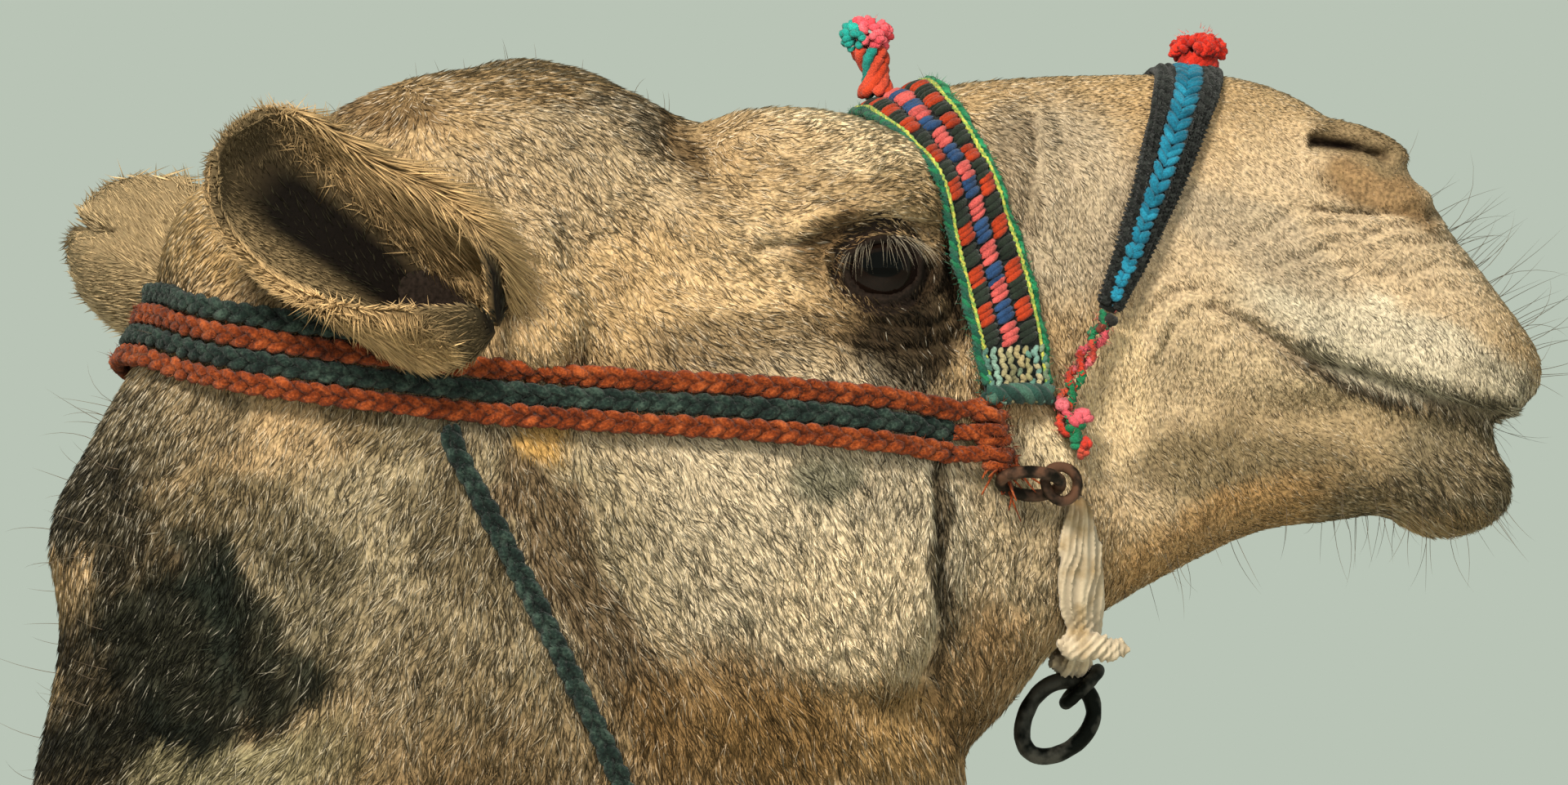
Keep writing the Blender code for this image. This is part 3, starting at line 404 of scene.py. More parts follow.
points, normals = read_points(skin.data)
local = points - np.array(HEAD)
flat = local[:, [0, 2]]
on_head = local[:, 2] > -0.33
muzzle = np.clip((local[:, 0] - 0.08) / 0.10, 0, 1) * on_head
eye_near = lens(flat, (-0.012, -0.002), (0.040, 0.034)) < 1
bare = lens(flat, (0.192, 0.036), (0.034, 0.016), -24) < 1
depth = np.where(on_head & (local[:, 0] > -0.5), 0.0040 - 0.0012 * muzzle, 0.0065)
depth = np.where(bare | eye_near, 0.0018, depth)
points -= normals * depth[:, None]

MOUTH = [(.122, -.0175), (.13, -.0205), (.14, -.027), (.156, -.036), (.1737, -.0428),
         (.194, -.05), (.211, -.0552), (.228, -.0595), (.246, -.063)]
CREASES = [  # line, how deep, how wide, in metres
    (MOUTH, .007, .0028),
    # the folds that arch over the corner of the mouth
    ([(.0965, -.028), (.099, -.019), (.1085, -.0116), (.1204, -.01), (.1354, -.015), (.154, -.026)],
     .0028, .0027),
    ([(.091, -.018), (.098, -.008), (.108, -.002)], .0014, .0024),
    ([(.105, -.034), (.107, -.027), (.113, -.0175), (.122, -.014)], .002, .0018),
    ([(.118, -.036), (.122, -.029), (.129, -.027)], .001, .0022),
    # the wrinkles behind and below the nostril
    ([(.164, .0225), (.176, .0205), (.188, .0205), (.203, .0225), (.215, .0222)], .0044, .0018),
    ([(.183, .0115), (.192, .0145), (.205, .017), (.219, .0215)], .002, .0016),
    ([(.16, .0145), (.17, .0165), (.18, .016)], .0016, .0015),
    ([(.186, .003), (.198, .008), (.212, .011), (.226, .012)], .0016, .0017),
    ([(.166, .0065), (.178, .008), (.188, .006)], .0014, .0016),
    ([(.164, -.003), (.178, -.001), (.192, -.005)], .0014, .0018),
    ([(.146, -.001), (.16, .003), (.172, .009)], .0012, .0018),
    ([(.2, -.004), (.214, .001), (.232, .002)], .0014, .0018),
    ([(.19, -.012), (.206, -.009), (.222, -.008)], .001, .0018),
    ([(.132, .008), (.146, .014), (.156, .022)], .001, .0022),
    # the groove in front of the chewing muscle
    ([(.0095, -.068), (.0092, -.086), (.011, -.102), (.013, -.118), (.0146, -.134), (.0145, -.152),
      (.009, -.172)], .0046, .0028),
    ([(.044, -.088), (.046, -.11), (.044, -.14)], .0018, .0036),
    ([(.02, -.052), (.034, -.06), (.046, -.074)], .0016, .0028),
    # folds on the bridge of the nose, in front of the brow band
    ([(.052, .06), (.053, .042), (.049, .026), (.046, .01)], .0024, .0024),
    ([(.06, .066), (.064, .05), (.066, .034)], .0014, .0024),
    # the fold over the upper lid, the folds below the lower one, and the hollow ahead of the eye
    ([(-.062, -.001), (-.05, .0012), (-.038, .0048), (-.024, .0085), (-.008, .0105), (.008, .0092)],
     .0042, .0022),
    ([(-.044, .016), (-.034, .019), (-.022, .021)], .0014, .0018),
    ([(-.034, -.002), (-.026, -.012), (-.013, -.0195), (.002, -.019), (.013, -.012)], .0022, .0017),
    ([(-.036, -.013), (-.024, -.022), (-.008, -.0275), (.008, -.0265), (.018, -.02)], .0016, .0018),
    ([(-.02, -.032), (-.006, -.0345), (.008, -.0325)], .001, .0018),
    ([(.0165, .014), (.0195, .000), (.02, -.014), (.018, -.03)], .0056, .005),
    ([(.006, -.03), (.008, -.042), (.006, -.054)], .0022, .003),
    # the temple's hollow behind the brow, and a vein down the side of the nose
    ([(-.082, .06), (-.088, .046), (-.082, .032), (-.07, .022)], .0056, .01),
    ([(-.07, .042), (-.06, .034), (-.05, .03)], .0026, .006),
    ([(.07, -.03), (.078, -.046), (.082, -.062)], .0018, .0046),
    # furrows of the nape
    ([(-.318, -.07), (-.312, -.104), (-.302, -.134)], .004, .007),
    ([(-.286, -.112), (-.27, -.15), (-.262, -.19)], .0036, .007),
    ([(-.2, -.13), (-.196, -.18), (-.19, -.24)], .0024, .01),
]
RIDGES = [  # line, how high, how wide
    ([(.14, -.018), (.158, -.0275), (.176, -.035), (.194, -.041), (.212, -.046), (.244, -.051)],
     .0034, .0052),
    ([(.16, -.05), (.18, -.057), (.204, -.065), (.228, -.069)], .0006, .0044),
    ([(.164, .055), (.176, .056), (.19, .0525), (.202, .045)], .004, .0042),
    ([(.168, .0375), (.182, .035), (.198, .031), (.21, .027)], .0042, .0058),
    ([(-.046, .0095), (-.03, .016), (-.012, .019), (.006, .0175), (.018, .011)], .0046, .0058),
    ([(-.03, -.017), (-.012, -.024), (.006, -.023)], .001, .0022),
    ([(.099, -.037), (.102, -.025), (.11, -.0165), (.12, -.0145)], .0018, .0026),
    ([(.06, -.064), (.062, -.084), (.06, -.11)], .002, .009),
    ([(.012, -.072), (.008, -.1), (.004, -.14), (-.01, -.166)], .003, .009),
]
facing = np.clip(np.abs(normals[:, 1]) * 2.2, 0, 1)
for line, deep, wide in CREASES:
    push = deep * near_line(flat, line, wide)
    # the mouth alone runs on round the front of the face
    front = np.clip((local[:, 0] - 0.20) / 0.03, 0, 1) * 0.7 if line is MOUTH else 0
    points -= normals * (push * np.maximum(facing, front) * on_head)[:, None]
for line, high, wide in RIDGES:
    push = high * near_line(flat, line, wide)
    points += normals * (push * facing * on_head)[:, None]

# the slit of each nostril runs in and forward under its upper wing
NOSTRIL = [(.1655, .0492), (.175, .0480), (.184, .0462), (.1935, .0428)]
inwards = normals * 0.55 + np.array([0.1, 0, -0.25]) + np.sign(local[:, [1]]) * np.array([0, 0.5, 0])
upper = (np.abs(local[:, 1]) > 0.012) & on_head
points -= inwards * (0.0110 * near_line(flat, NOSTRIL, 0.0025) * upper)[:, None]

# The eyelids. Inside the opening the skin goes behind the eyeball, the lid's edge lies on the
# ball, and beyond it the lid runs out into the brow above and the cheek below.
EYE_BALL = 0.0190
EYE_AT = np.array([-0.013, 0.0565, -0.005])
opening_x, opening_z = local[:, 0] + 0.0114, local[:, 2] + 0.0058
lean = math.radians(5)
along = opening_x * math.cos(lean) + opening_z * math.sin(lean)
across = -opening_x * math.sin(lean) + opening_z * math.cos(lean)
reach = np.hypot(along / 0.0136, across / np.where(across > 0, 0.0088, 0.0100))
rim = (reach - 1) * 0.0125  # roughly metres outside the opening
from_ball = np.hypot(local[:, 0] - EYE_AT[0], local[:, 2] - EYE_AT[2])
ball_y = EYE_AT[1] + np.sqrt(np.clip((EYE_BALL + 0.0006) ** 2 - from_ball**2, 0, None))
old_y = np.abs(local[:, 1])
lid = np.clip(rim / 0.0022, 0, 1)
lid_y = ball_y + 0.0020 * np.sin(lid * math.pi / 2) + np.where(across > 0, 0.0024, 0.0) * lid
blend = ease(np.clip((rim - 0.0022) / 0.0085, 0, 1))
new_y = lid_y * (1 - blend) + np.maximum(old_y, lid_y - 0.004) * blend
new_y = np.where(rim < 0, np.maximum(ball_y - 0.0020 - np.clip(-rim, 0, 0.004) * 2.0, 0.050), new_y)
at_eye = (rim < 0.0107) & (old_y > 0.035) & on_head
points[:, 1] = np.where(at_eye, HEAD.y + np.sign(local[:, 1]) * new_y, points[:, 1])

skin.data.vertices.foreach_set("co", points.ravel())
skin.data.update()

# The hide's markings: soft patches over a sandy ground, roughened by noise, the same on the
# skin and on the coat. Each has a ground colour, and the share of dark and of pale hairs in it.

# Some patches in the list are painted shade in folds, hollows and under the jaw, as noted beside them.
MARKINGS = [  # centre x, z, radii, tilt, colour, amount, dark share, pale share
    # muzzle, lips and nostrils
    (.166, -.002, .08, .056, 0, "#b09c7e", .9, .05, .3),
    (.196, -.032, .064, .016, -18, "#bcb198", .9, .34, .56),
    (.14, .01, .046, .013, -30, "#9f9078", .75, .36, .25),
    (.191, .029, .028, .011, -20, "#7b6141", .92, .06, .00),
    (.186, .0475, .022, .009, -24, "#78664a", .92, .1, .00),
    (.205, -.045, .05, .007, -15, "#b0a68c", .8, .4, .5),
    (.176, -.06, .052, .012, -15, "#b8a47f", .85, .12, .2),
    (.232, -.045, .018, .01, 0, "#a1967d", .8, .36, .38),
    # a thin painted shade along the mouth line, over the dark edge of the lips
    (.2, -.0515, .05, .0022, -16, "#3f3428", .85, .4, .05),
    # bridge of the nose
    (.08, .069, .048, .01, 0, "#a88c64", .65, .06, .15),
    (.061, .024, .038, .042, 0, "#a0937d", .75, .22, .32),
    # a painted shadow in the fold at the side of the nose
    (.045, .037, .01, .026, 0, "#806f57", .6, .3, .1),
    # cheek ahead of the halter ring, jaw and chin
    (.112, -.062, .048, .048, 0, "#ac9878", .85, .08, .3),
    # these two are darkened with painted shade on the lower jaw
    (.166, -.075, .056, .024, 0, "#8f7b5b", .75, .14, .18),
    (.142, -.084, .056, .02, -8, "#75664a", .85, .24, .12),
    (.084, -.052, .014, .03, 0, "#c2ab84", .8, .05, .35),
    (.05, -.077, .014, .013, 0, "#cdba95", .85, .1, .4),
    (.227, -.078, .032, .028, 0, "#776b52", .9, .4, .12),
    (.224, -.101, .024, .009, 0, "#ab9066", .7, .1, .1),
    (.128, -.106, .046, .014, 25, "#a98556", .8, .06, .1),
    # brow, eye and temple
    (-.01, .034, .042, .025, 0, "#a08864", .85, .15, .25),
    (-.022, .044, .044, .015, -4, "#d3bc95", .8, .07, .34),
    (.008, .024, .026, .01, -15, "#937c58", .7, .28, .1),
    (.019, .029, .015, .02, 0, "#77603f", .75, .35, .05),
    # the dark skin of the lids, deepened with painted shade in the socket round the eye
    (-.008, -.007, .027, .0165, 4, "#2e2319", .95, .6, .00),
    (-.012, -.028, .024, .009, -4, "#57462f", .75, .45, .05),
    (-.03, -.025, .022, .011, -6, "#856d4c", .7, .3, .05),
    (-.004, -.036, .02, .025, -20, "#2e2419", .92, .6, .02),
    # painted shade in the hollow ahead of the eye
    (.02, -.01, .007, .026, 0, "#261d15", .92, .6, .00),
    # these two are painted shade along the fold over the upper lid
    (-.04, .0035, .024, .0042, 14, "#3f3122", .85, .5, .00),
    (-.002, .0085, .024, .0045, 0, "#8a7250", .55, .34, .08),
    (-.07, -.008, .03, .017, 8, "#cfb892", .85, .04, .35),
    (-.036, -.001, .018, .013, 12, "#785f40", .85, .3, .06),
    (-.07, .012, .03, .014, 10, "#b59c76", .65, .14, .25),
    (-.098, .043, .015, .024, 25, "#5c482f", .85, .4, .1),
    (-.11, .024, .022, .013, 0, "#bda580", .7, .2, .38),
    (-.12, -.031, .022, .014, 0, "#9d845e", .6, .25, .25),
    (-.208, .056, .02, .014, 0, "#6a5335", .8, .3, .1),
    # crown and side of the skull
    (-.14, .074, .07, .024, 0, "#7c6646", .85, .28, .18),
    (-.12, .046, .024, .018, 20, "#7a705d", .65, .32, .2),
    (-.06, .044, .03, .01, -12, "#a58a64", .6, .2, .12),
    (-.14, .021, .046, .03, 0, "#aa9574", .75, .26, .36),
    (-.106, -.018, .068, .025, 0, "#b2966c", .75, .13, .3),
    (-.066, -.036, .04, .011, 0, "#6f5f47", .65, .42, .25),
    (-.269, .014, .026, .028, 0, "#ab8e61", .85, .1, .15),
    # chewing muscle
    (-.042, -.107, .078, .06, 0, "#b5a78b", .9, .28, .46),
    (-.096, -.085, .042, .018, 0, "#b5a588", .65, .24, .4),
    (-.022, -.14, .036, .032, 0, "#c9b694", .7, .18, .45),
    (-.036, -.091, .015, .009, 20, "#716e5a", .9, .2, .04),
    (.0112, -.104, .0042, .032, 0, "#453a28", .85, .45, .05),
    (.0146, -.142, .0046, .022, 0, "#4d402c", .8, .45, .05),
    (.048, -.104, .02, .034, 0, "#ac9b7c", .7, .24, .3),
    (-.022, -.184, .066, .02, 0, "#94764a", .85, .2, .1),
    (.032, -.171, .02, .036, 0, "#8c704c", .75, .22, .08),
    # neck
    (-.18, -.126, .085, .065, 0, "#94876a", .9, .34, .38),
    (-.129, -.138, .078, .015, -62, "#5d4a33", .8, .42, .15),
    (-.146, -.075, .014, .009, -50, "#b28c4e", .85, .04, .1),
    (-.072, -.186, .046, .032, 0, "#7b5f39", .75, .3, .08),
    (-.206, -.068, .03, .012, -8, "#5d5138", .6, .5, .22),
    (-.186, -.062, .02, .014, -8, "#a09072", .75, .28, .38),
    (-.154, -.19, .036, .028, 0, "#86785b", .7, .32, .3),
    (-.276, -.128, .02, .014, -65, "#262c23", .92, .6, .05),
    (-.288, -.16, .042, .025, -55, "#1f261f", .95, .6, .03),
    (-.306, -.2, .034, .03, 0, "#1f231c", .95, .6, .00),
    (-.236, -.146, .018, .034, 0, "#59523e", .6, .5, .15),
    (-.258, -.154, .036, .014, -60, "#242a22", .9, .6, .04),
    (-.318, -.168, .014, .022, 0, "#2b2a20", .85, .6, .05),
    (-.343, -.168, .009, .06, -4, "#716247", .8, .28, .2),
    (-.318, -.098, .016, .03, 20, "#3d3829", .8, .5, .12),
    (-.3, -.066, .012, .02, 30, "#6a5f47", .7, .4, .2),
    (-.25, -.202, .046, .016, 4, "#8c8363", .92, .2, .22),
    (-.181, -.114, .04, .01, -62, "#62563f", .7, .45, .2),
    (-.292, -.062, .036, .018, -10, "#6b604a", .7, .45, .25),
    (-.312, -.098, .032, .026, -50, "#3b3629", .92, .5, .18),
    (-.258, -.104, .034, .018, -25, "#5d543e", .75, .45, .25),
    (-.33, -.3, .09, .09, 0, "#5a4930", .75, .3, .1),
    (-.13, -.42, .075, .26, 12, "#6b5435", .75, .25, .08),
    # trunk, hump and tail
    (-1.43, -.42, .9, .28, 0, "#a98b60", .6, .1, .15),
    (-1.47, -.2, .32, .15, 0, "#7a5d3a", .8, .2, .08),
    (-1.43, -1.15, .7, .13, 0, "#b8a17a", .7, .06, .25),
    (-1.07, -.9, .16, .24, 0, "#8a6d46", .6, .2, .08),
    (-2.35, -1.2, .09, .21, 0, "#34291d", .95, .4, .00),
    (-.985, -1.68, .075, .06, 0, "#5f5242", .85, .25, .05),
    (-2.16, -1.6, .08, .09, 0, "#6e5f4b", .7, .25, .05),
    (-1.5, -2.13, 1.2, .12, 0, "#a68d66", .8, .12, .15),
]


def tone_of(code):
    """An sRGB hex colour as an array of linear red, green and blue."""
    return np.array(paint(code)[:3])


def cloud(places, size, seed):
    """Soft noise from 0 to 1 at each place, in lumps of about that size."""
    grid = places / size + seed * 17.31
    cell = np.floor(grid).astype(np.int64)
    share = ease(grid - cell)
    total = np.zeros(len(places))
    for corner in range(8):
        offset = np.array([corner & 1, corner >> 1 & 1, corner >> 2 & 1])
        at = cell + offset
        jumbled = (at[:, 0] * 73856093 ^ at[:, 1] * 19349663 ^ at[:, 2] * 83492791) & 0x7FFFFFFF
        jumbled = (jumbled ^ jumbled >> 13) * 1274126177 & 0x7FFFFFFF
        value = ((jumbled ^ jumbled >> 16) & 0xFFFF) / 65535
        total += value * np.prod(np.where(offset, share, 1 - share), axis=1)
    return total


def hide_at(places):
    """The ground colour, and the shares of dark and of pale hairs, at points of the skin."""
    near = places - np.array(HEAD)
    scale = np.where(near[:, 2] > -0.4, 1.0, 3.0)
    sway_x = (cloud(places, 0.022, 1) - 0.5) * 0.020 + (cloud(places, 0.006, 2) - 0.5) * 0.010
    sway_z = (cloud(places, 0.022, 3) - 0.5) * 0.020 + (cloud(places, 0.006, 4) - 0.5) * 0.010
    scale *= np.interp(near[:, 0], [-0.16, -0.08], [1.0, 0.45])  # the face is marked more sharply
    drawn = near[:, [0, 2]] + np.stack([sway_x, sway_z], axis=1) * scale[:, None]
    colour = np.tile(tone_of("#a98f69"), (len(places), 1))
    dark = np.full(len(places), 0.14)
    pale = np.full(len(places), 0.22)
    for x, z, wide, high, tilt, code, amount, dark_share, pale_share in MARKINGS:
        soft = np.clip((1.28 - lens(drawn, (x, z), (wide, high), tilt)) / 0.56, 0, 1)
        soft = (ease(soft) * amount)[:, None]
        colour = colour * (1 - soft) + tone_of(code) * soft
        dark = dark * (1 - soft[:, 0]) + dark_share * soft[:, 0]
        pale = pale * (1 - soft[:, 0]) + pale_share * soft[:, 0]
    colour = colour * (0.86 + 0.28 * cloud(places, 0.012, 5))[:, None]
    return colour, dark, pale


def tint_points(mesh, colours):
    """Keeps a colour for each of the mesh's points, under the name marking."""
    kept = mesh.color_attributes.new("marking", "BYTE_COLOR", "POINT")
    rgba = np.ones((len(colours), 4), np.float32)
    rgba[:, :3] = np.clip(colours, 0, 1)
    kept.data.foreach_set("color", rgba.ravel())


def marking_of(material):
    """The output that reads the colour kept for each point."""
    return add_node(material, "Attribute", attribute_name="marking").outputs["Color"]


def noise(material, scale, detail):
    """The output of soft noise through the space round the object."""
    place = add_node(material, "TexCoord").outputs["Object"]
    made = add_node(material, "TexNoise", {"Vector": place, "Scale": scale, "Detail": detail})
    return made.outputs["Fac"]


def ranged(material, value, start, end, low=0.0, high=1.0):
    """The output that carries values from start to end over to low to high, and no further."""
    made = add_node(material, "MapRange", {"Value": value, "From Min": start, "From Max": end,
                                           "To Min": low, "To Max": high})
    return made.outputs["Result"]


def summed(material, first, second):
    """The output that adds two values."""
    return add_node(material, "Math", {0: first, 1: second}, operation="ADD").outputs["Value"]


def relief(material, height, strength, depth):
    """The output of a fine relief that follows the height, up to depth in metres."""
    made = add_node(material, "Bump", {"Height": height, "Strength": strength, "Distance": depth})
    return made.outputs["Normal"]


# Camel hide under short hair: dull, with the tone of the markings. The fine grain reads as the
# roots of the hair between the tufts, drawn a little coarser than real hairs are.
hide = finish_of("camel_hide", "#8c7656", 0.80, Specular_IOR_Level=0.25)
grain = noise(hide, 620.0, 3.0)
streaks = ranged(hide, grain, 0.34, 0.66, 0.55, 1.30)
feed_shader(hide, Base_Color=mixed(hide, 1.0, marking_of(hide), streaks, "MULTIPLY"),
            Normal=relief(hide, summed(hide, grain, noise(hide, 190.0, 2.0)), 0.55, 0.0009))

EARS = {  # length, which way the ear points, which way its cup opens
    "right": (0.128, (-0.76, 0.26, 0.56), (0.30, 0.92, 0.15)),
    "left": (0.146, (-0.91, 0.25, 0.42), (0.10, 0.85, 0.40)),
}
EAR_FOOT = (-0.176, 0.080, -0.036)  # where the left ear grows from the skull
EAR_HALF = 0.034  # half the width of an ear laid flat, before it swells
SIDES = (("right", -1), ("left", 1))
BARE_NOSE = (.190, .034), (.026, .012), -24  # the patch of thin hair beside the nostril

points, normals = read_points(skin.data)
colour, dark, pale = hide_at(points)
colour = colour * (1 - 0.45 * dark + 0.25 * pale)[:, None]
local = points - np.array(HEAD)
ball_gap = np.linalg.norm(local * [1, 0, 1] - (EYE_AT * [1, 0, 1]), axis=1)
colour = np.where(((ball_gap < 0.0200) & (np.abs(local[:, 1]) > 0.03))[:, None],
                  tone_of("#1f1712"), colour)
# The slit of each nostril is painted near black: a painted shade inside the nostril, fading towards its front
# end.
slit_shade = np.exp(-((away_from_line(local[:, [0, 2]], NOSTRIL) / 0.0019) ** 4)) * (np.abs(local[:, 1]) > 0.010)
slit_shade *= np.clip((0.192 - local[:, 0]) / 0.012, 0.45, 1)
bare_skin = np.clip(1.3 - lens(local[:, [0, 2]], *BARE_NOSE), 0, 0.6)[:, None] / 0.6
tone = colour * (0.72 + 0.10 * bare_skin)
tone = tone * (1 - slit_shade[:, None]) + tone_of("#1c1410") * slit_shade[:, None]
# no hair grows where an ear's tube stands on the skin, and the skin in there is painted dark: its own dark
# skin deepened by painted shade
in_cup = np.zeros(len(points))
for side_name, side in SIDES:
    long, (ax, ay, az), (ox, oy, oz) = EARS[side_name]
    axis = np.array([ax, side * ay, az]) / math.hypot(ax, ay, az)
    opens = np.array([ox, side * oy, oz])
    opens = opens - axis * (opens @ axis)
    reach = local - [EAR_FOOT[0], side * EAR_FOOT[1], EAR_FOOT[2]]
    run = np.clip(reach @ axis, 0, 0.60 * long)
    girth = EAR_HALF * 0.66 * (1 + run / long)
    middle = np.outer(run, axis) + np.outer(0.45 * girth, opens / np.linalg.norm(opens))
    cup = np.clip((girth + 0.0025 - np.linalg.norm(reach - middle, axis=1)) / 0.003, 0, 1)
    in_cup = np.maximum(in_cup, cup * np.clip((reach @ axis + 0.004) / 0.003, 0, 1))
tone = tone * (1 - in_cup[:, None]) + tone_of("#1b1511") * in_cup[:, None]
tint_points(skin.data, tone)
for polygon in skin.data.polygons:
    polygon.use_smooth = True
skin.data.materials.append(hide)
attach(skin, "root")
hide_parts("head", "lower_jaw", *FLESH)

# ---------------------------------------------------------------- coat
# Short flat hair in small pointed tufts, rooted in the skin and lying back over each other along
# the lie of the coat. They are shortest on the nose and round the eyes, longer on the neck, and
# woolly on the hump, down the front of the neck and at the end of the tail.

LIE = [  # place x, z from the head's reference point, and which way the hair lies there
    (.245, -.02, .3, -.95), (.215, .03, .7, -.7), (.19, .055, .95, -.3), (.15, .04, .6, -.7),
    (.15, .000, .7, -.6), (.2, -.01, .6, -.75), (.205, -.045, .3, -1.0), (.16, -.03, .45, -.9),
    (.235, -.08, .55, -.8), (.2, -.09, .6, -.6), (.16, -.075, .8, -.5), (.12, -.05, .15, -1.0),
    (.11, -.09, .45, -.8), (.07, .02, .25, -1.0), (.09, .072, 1.0, -.1), (.05, .06, .6, -.6),
    (.08, -.04, .1, -1.0), (.06, -.11, -.1, -1.0), (.02, .03, .75, -.65), (-.02, .04, .85, .35),
    (-.04, .02, .8, .1), (-.06, .000, .85, -.35), (-.02, -.03, .55, -.75), (.018, -.03, -.05, -1.0),
    (-.1, .000, .6, -.7), (-.14, .04, .55, -.75), (-.15, .078, .9, .05), (-.09, .06, .85, -.5),
    (-.06, -.04, .8, -.45), (-.04, -.09, .45, -.85), (-.01, -.1, .00, -1.0), (-.04, -.15, .4, -.9),
    (-.1, -.12, .55, -.85), (-.14, -.06, .35, -.9), (-.2, -.09, -.45, -.85), (-.2, -.16, -.4, -.9),
    (-.3, -.1, -.35, -.9), (-.28, -.18, -.6, -.75), (-.15, -.2, -.25, -1.0), (-.04, -.2, .2, -1.0),
    (-.27, .01, -.7, -.7), (-.24, .05, -.6, -.4), (-.3, -.5, -.3, -.95), (-.7, -.9, -.55, -.8),
    (-1.00, -.7, -.8, -.6), (-1.45, -.15, -.7, -.7), (-1.45, -.7, -.85, -.5), (-1.45, -1.2, -.9, -.3),
    (-2.05, -.8, -.6, -.8), (-2.35, -1.1, .00, -1.0), (-1.00, -1.6, -.1, -1.0), (-2.1, -1.6, -.1, -1.0),
]
HEAD_TUFTS, BODY_TUFTS, EAR_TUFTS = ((258000, 66000, 15000))
TUFTS_A_PIECE = 48000
chance = np.random.default_rng(41)


def lie_at(places):
    """Which way the hair lies at points of the skin, in side view."""
    near = (places - np.array(HEAD))[:, [0, 2]]
    total = np.zeros((len(places), 2))
    for x, z, along, down in LIE:
        pull = 1 / (np.sum((near - [x, z]) ** 2, axis=1) + 0.0001) ** 1.6
        total += pull[:, None] * np.array([along, down]) / math.hypot(along, down)
    return total / np.linalg.norm(total, axis=1, keepdims=True)


def unit(rows):
    """Each row as a direction one long."""
    return rows / np.maximum(np.linalg.norm(rows, axis=1, keepdims=True), 1e-9)


def square_to(rows, others):
    """Each row turned square to the other in its place, one long."""
    return unit(rows - others * np.sum(rows * others, axis=1, keepdims=True))


def lay_hair(root, facing, luck, lump, sway):
    """Which way each tuft lies on the skin: with the coat, swayed in lumps and a little by luck."""
    lie = lie_at(root)
    turn = np.radians(chance.normal(0, luck, len(root)) + (cloud(root, lump, 6) - 0.5) * sway)
    along = lie[:, 0] * np.cos(turn) - lie[:, 1] * np.sin(turn)
    down = lie[:, 0] * np.sin(turn) + lie[:, 1] * np.cos(turn)
    return square_to(np.stack([along, np.zeros(len(root)), down], axis=1), facing)


def mesh_of(name, verts, faces):
    """A new mesh from an array of points and one of triangles."""
    mesh = bpy.data.meshes.new(name)
    mesh.vertices.add(len(verts))
    mesh.vertices.foreach_set("co", verts.ravel())
    mesh.loops.add(faces.size)
    mesh.loops.foreach_set("vertex_index", faces.astype(np.int32).ravel())
    mesh.polygons.add(len(faces))
    mesh.polygons.foreach_set("loop_start", np.arange(len(faces), dtype=np.int32) * 3)
    mesh.update(calc_edges=True)
    return mesh


def scatter(mesh, weights, count):
    """Points and smooth normals on the mesh's triangles, as dense as the weight at each point."""
    corners = np.empty(len(mesh.polygons) * 3, np.int32)
    mesh.polygons.foreach_get("vertices", corners)
    corners = corners.reshape(-1, 3)
    at, facing = read_points(mesh)
    sides = at[corners[:, 1]] - at[corners[:, 0]], at[corners[:, 2]] - at[corners[:, 0]]
    area = np.linalg.norm(np.cross(*sides), axis=1) / 2
    share = np.cumsum(area * weights[corners].mean(axis=1))
    chosen = np.searchsorted(share, chance.random(count) * share[-1])
    a, b = chance.random((2, count, 1))
    flip = a + b > 1
    a, b = np.where(flip, 1 - a, a), np.where(flip, 1 - b, b)
    first, second, third = (corners[chosen, i] for i in range(3))
    place = at[first] * (1 - a - b) + at[second] * a + at[third] * b
    return place, unit(facing[first] * (1 - a - b) + facing[second] * a + facing[third] * b)


SPIKE = [[0, 2, 1], [1, 2, 3], [2, 0, 3], [0, 1, 3]]  # the faces of a spike, whose tip is its last point


def spike_faces(count):
    """The faces of so many spikes of four points each."""
    return (np.arange(count)[:, None, None] * 4 + np.array(SPIKE)).reshape(-1, 3)


def grow_tufts(name, root, facing, lie, length, width, lift, root_colour, tip_colour, material, order):
    """Pointed tufts of four faces each, sorted by order and shared out over pieces of an even size."""
    across = unit(np.cross(facing, lie))
    width, length = width[:, None], length[:, None]
    sunk = root - facing * 0.0006
    shape = np.stack([
        sunk - across * width / 2,
        sunk + across * width / 2,
        sunk + facing * (width * 0.55 + 0.0004) - lie * width * 0.3,
        sunk + lie * length * np.sqrt(1 - lift**2)[:, None] + facing * (length * lift[:, None] + 0.0006),
    ], axis=1)
    shade = np.stack([root_colour, root_colour, root_colour * 1.05, tip_colour], axis=1)
    rank = np.argsort(order, kind="stable")
    for number, start in enumerate(range(0, len(rank), TUFTS_A_PIECE)):
        part = rank[start : start + TUFTS_A_PIECE]
        mesh = mesh_of(f"{name}_{number + 1}", shape[part].reshape(-1, 3), spike_faces(len(part)))
        tint_points(mesh, shade[part].reshape(-1, 3))
        # the unwrap shows each side of the skin, outer and inner, in its own quarter
        low, high = root[part].min(axis=0), root[part].max(axis=0)
        spot = ((root[part] - low) / (high - low))[:, [0, 2]] * 0.48 + 0.01
        left = root[part, 1] > 0
        inner = (facing[part, 1] > 0) != left
        spot += np.stack([left, inner], axis=1) * 0.5
        corner = np.array([[-0.0015, -0.0015], [0.0015, -0.0015], [0, 0.0010], [0, 0.0015]])
        laid = (spot[:, None] + corner)[:, np.ravel(SPIKE)]
        mesh.uv_layers.new(name="OFBake").data.foreach_set("uv", laid.astype(np.float32).ravel())
        piece = make_object(mesh.name, mesh)
        mesh.materials.append(material)
        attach(piece, "root")


# Camel hair: dry, matt and slightly waxy, so it has a weak broad shine. Each tuft is darker at
# its root than at its tip, which gives the peppered look of the coat.
hair = finish_of("camel_hair", "#a98f69", 0.62, Specular_IOR_Level=0.30)
feed_shader(hair, Base_Color=marking_of(hair))

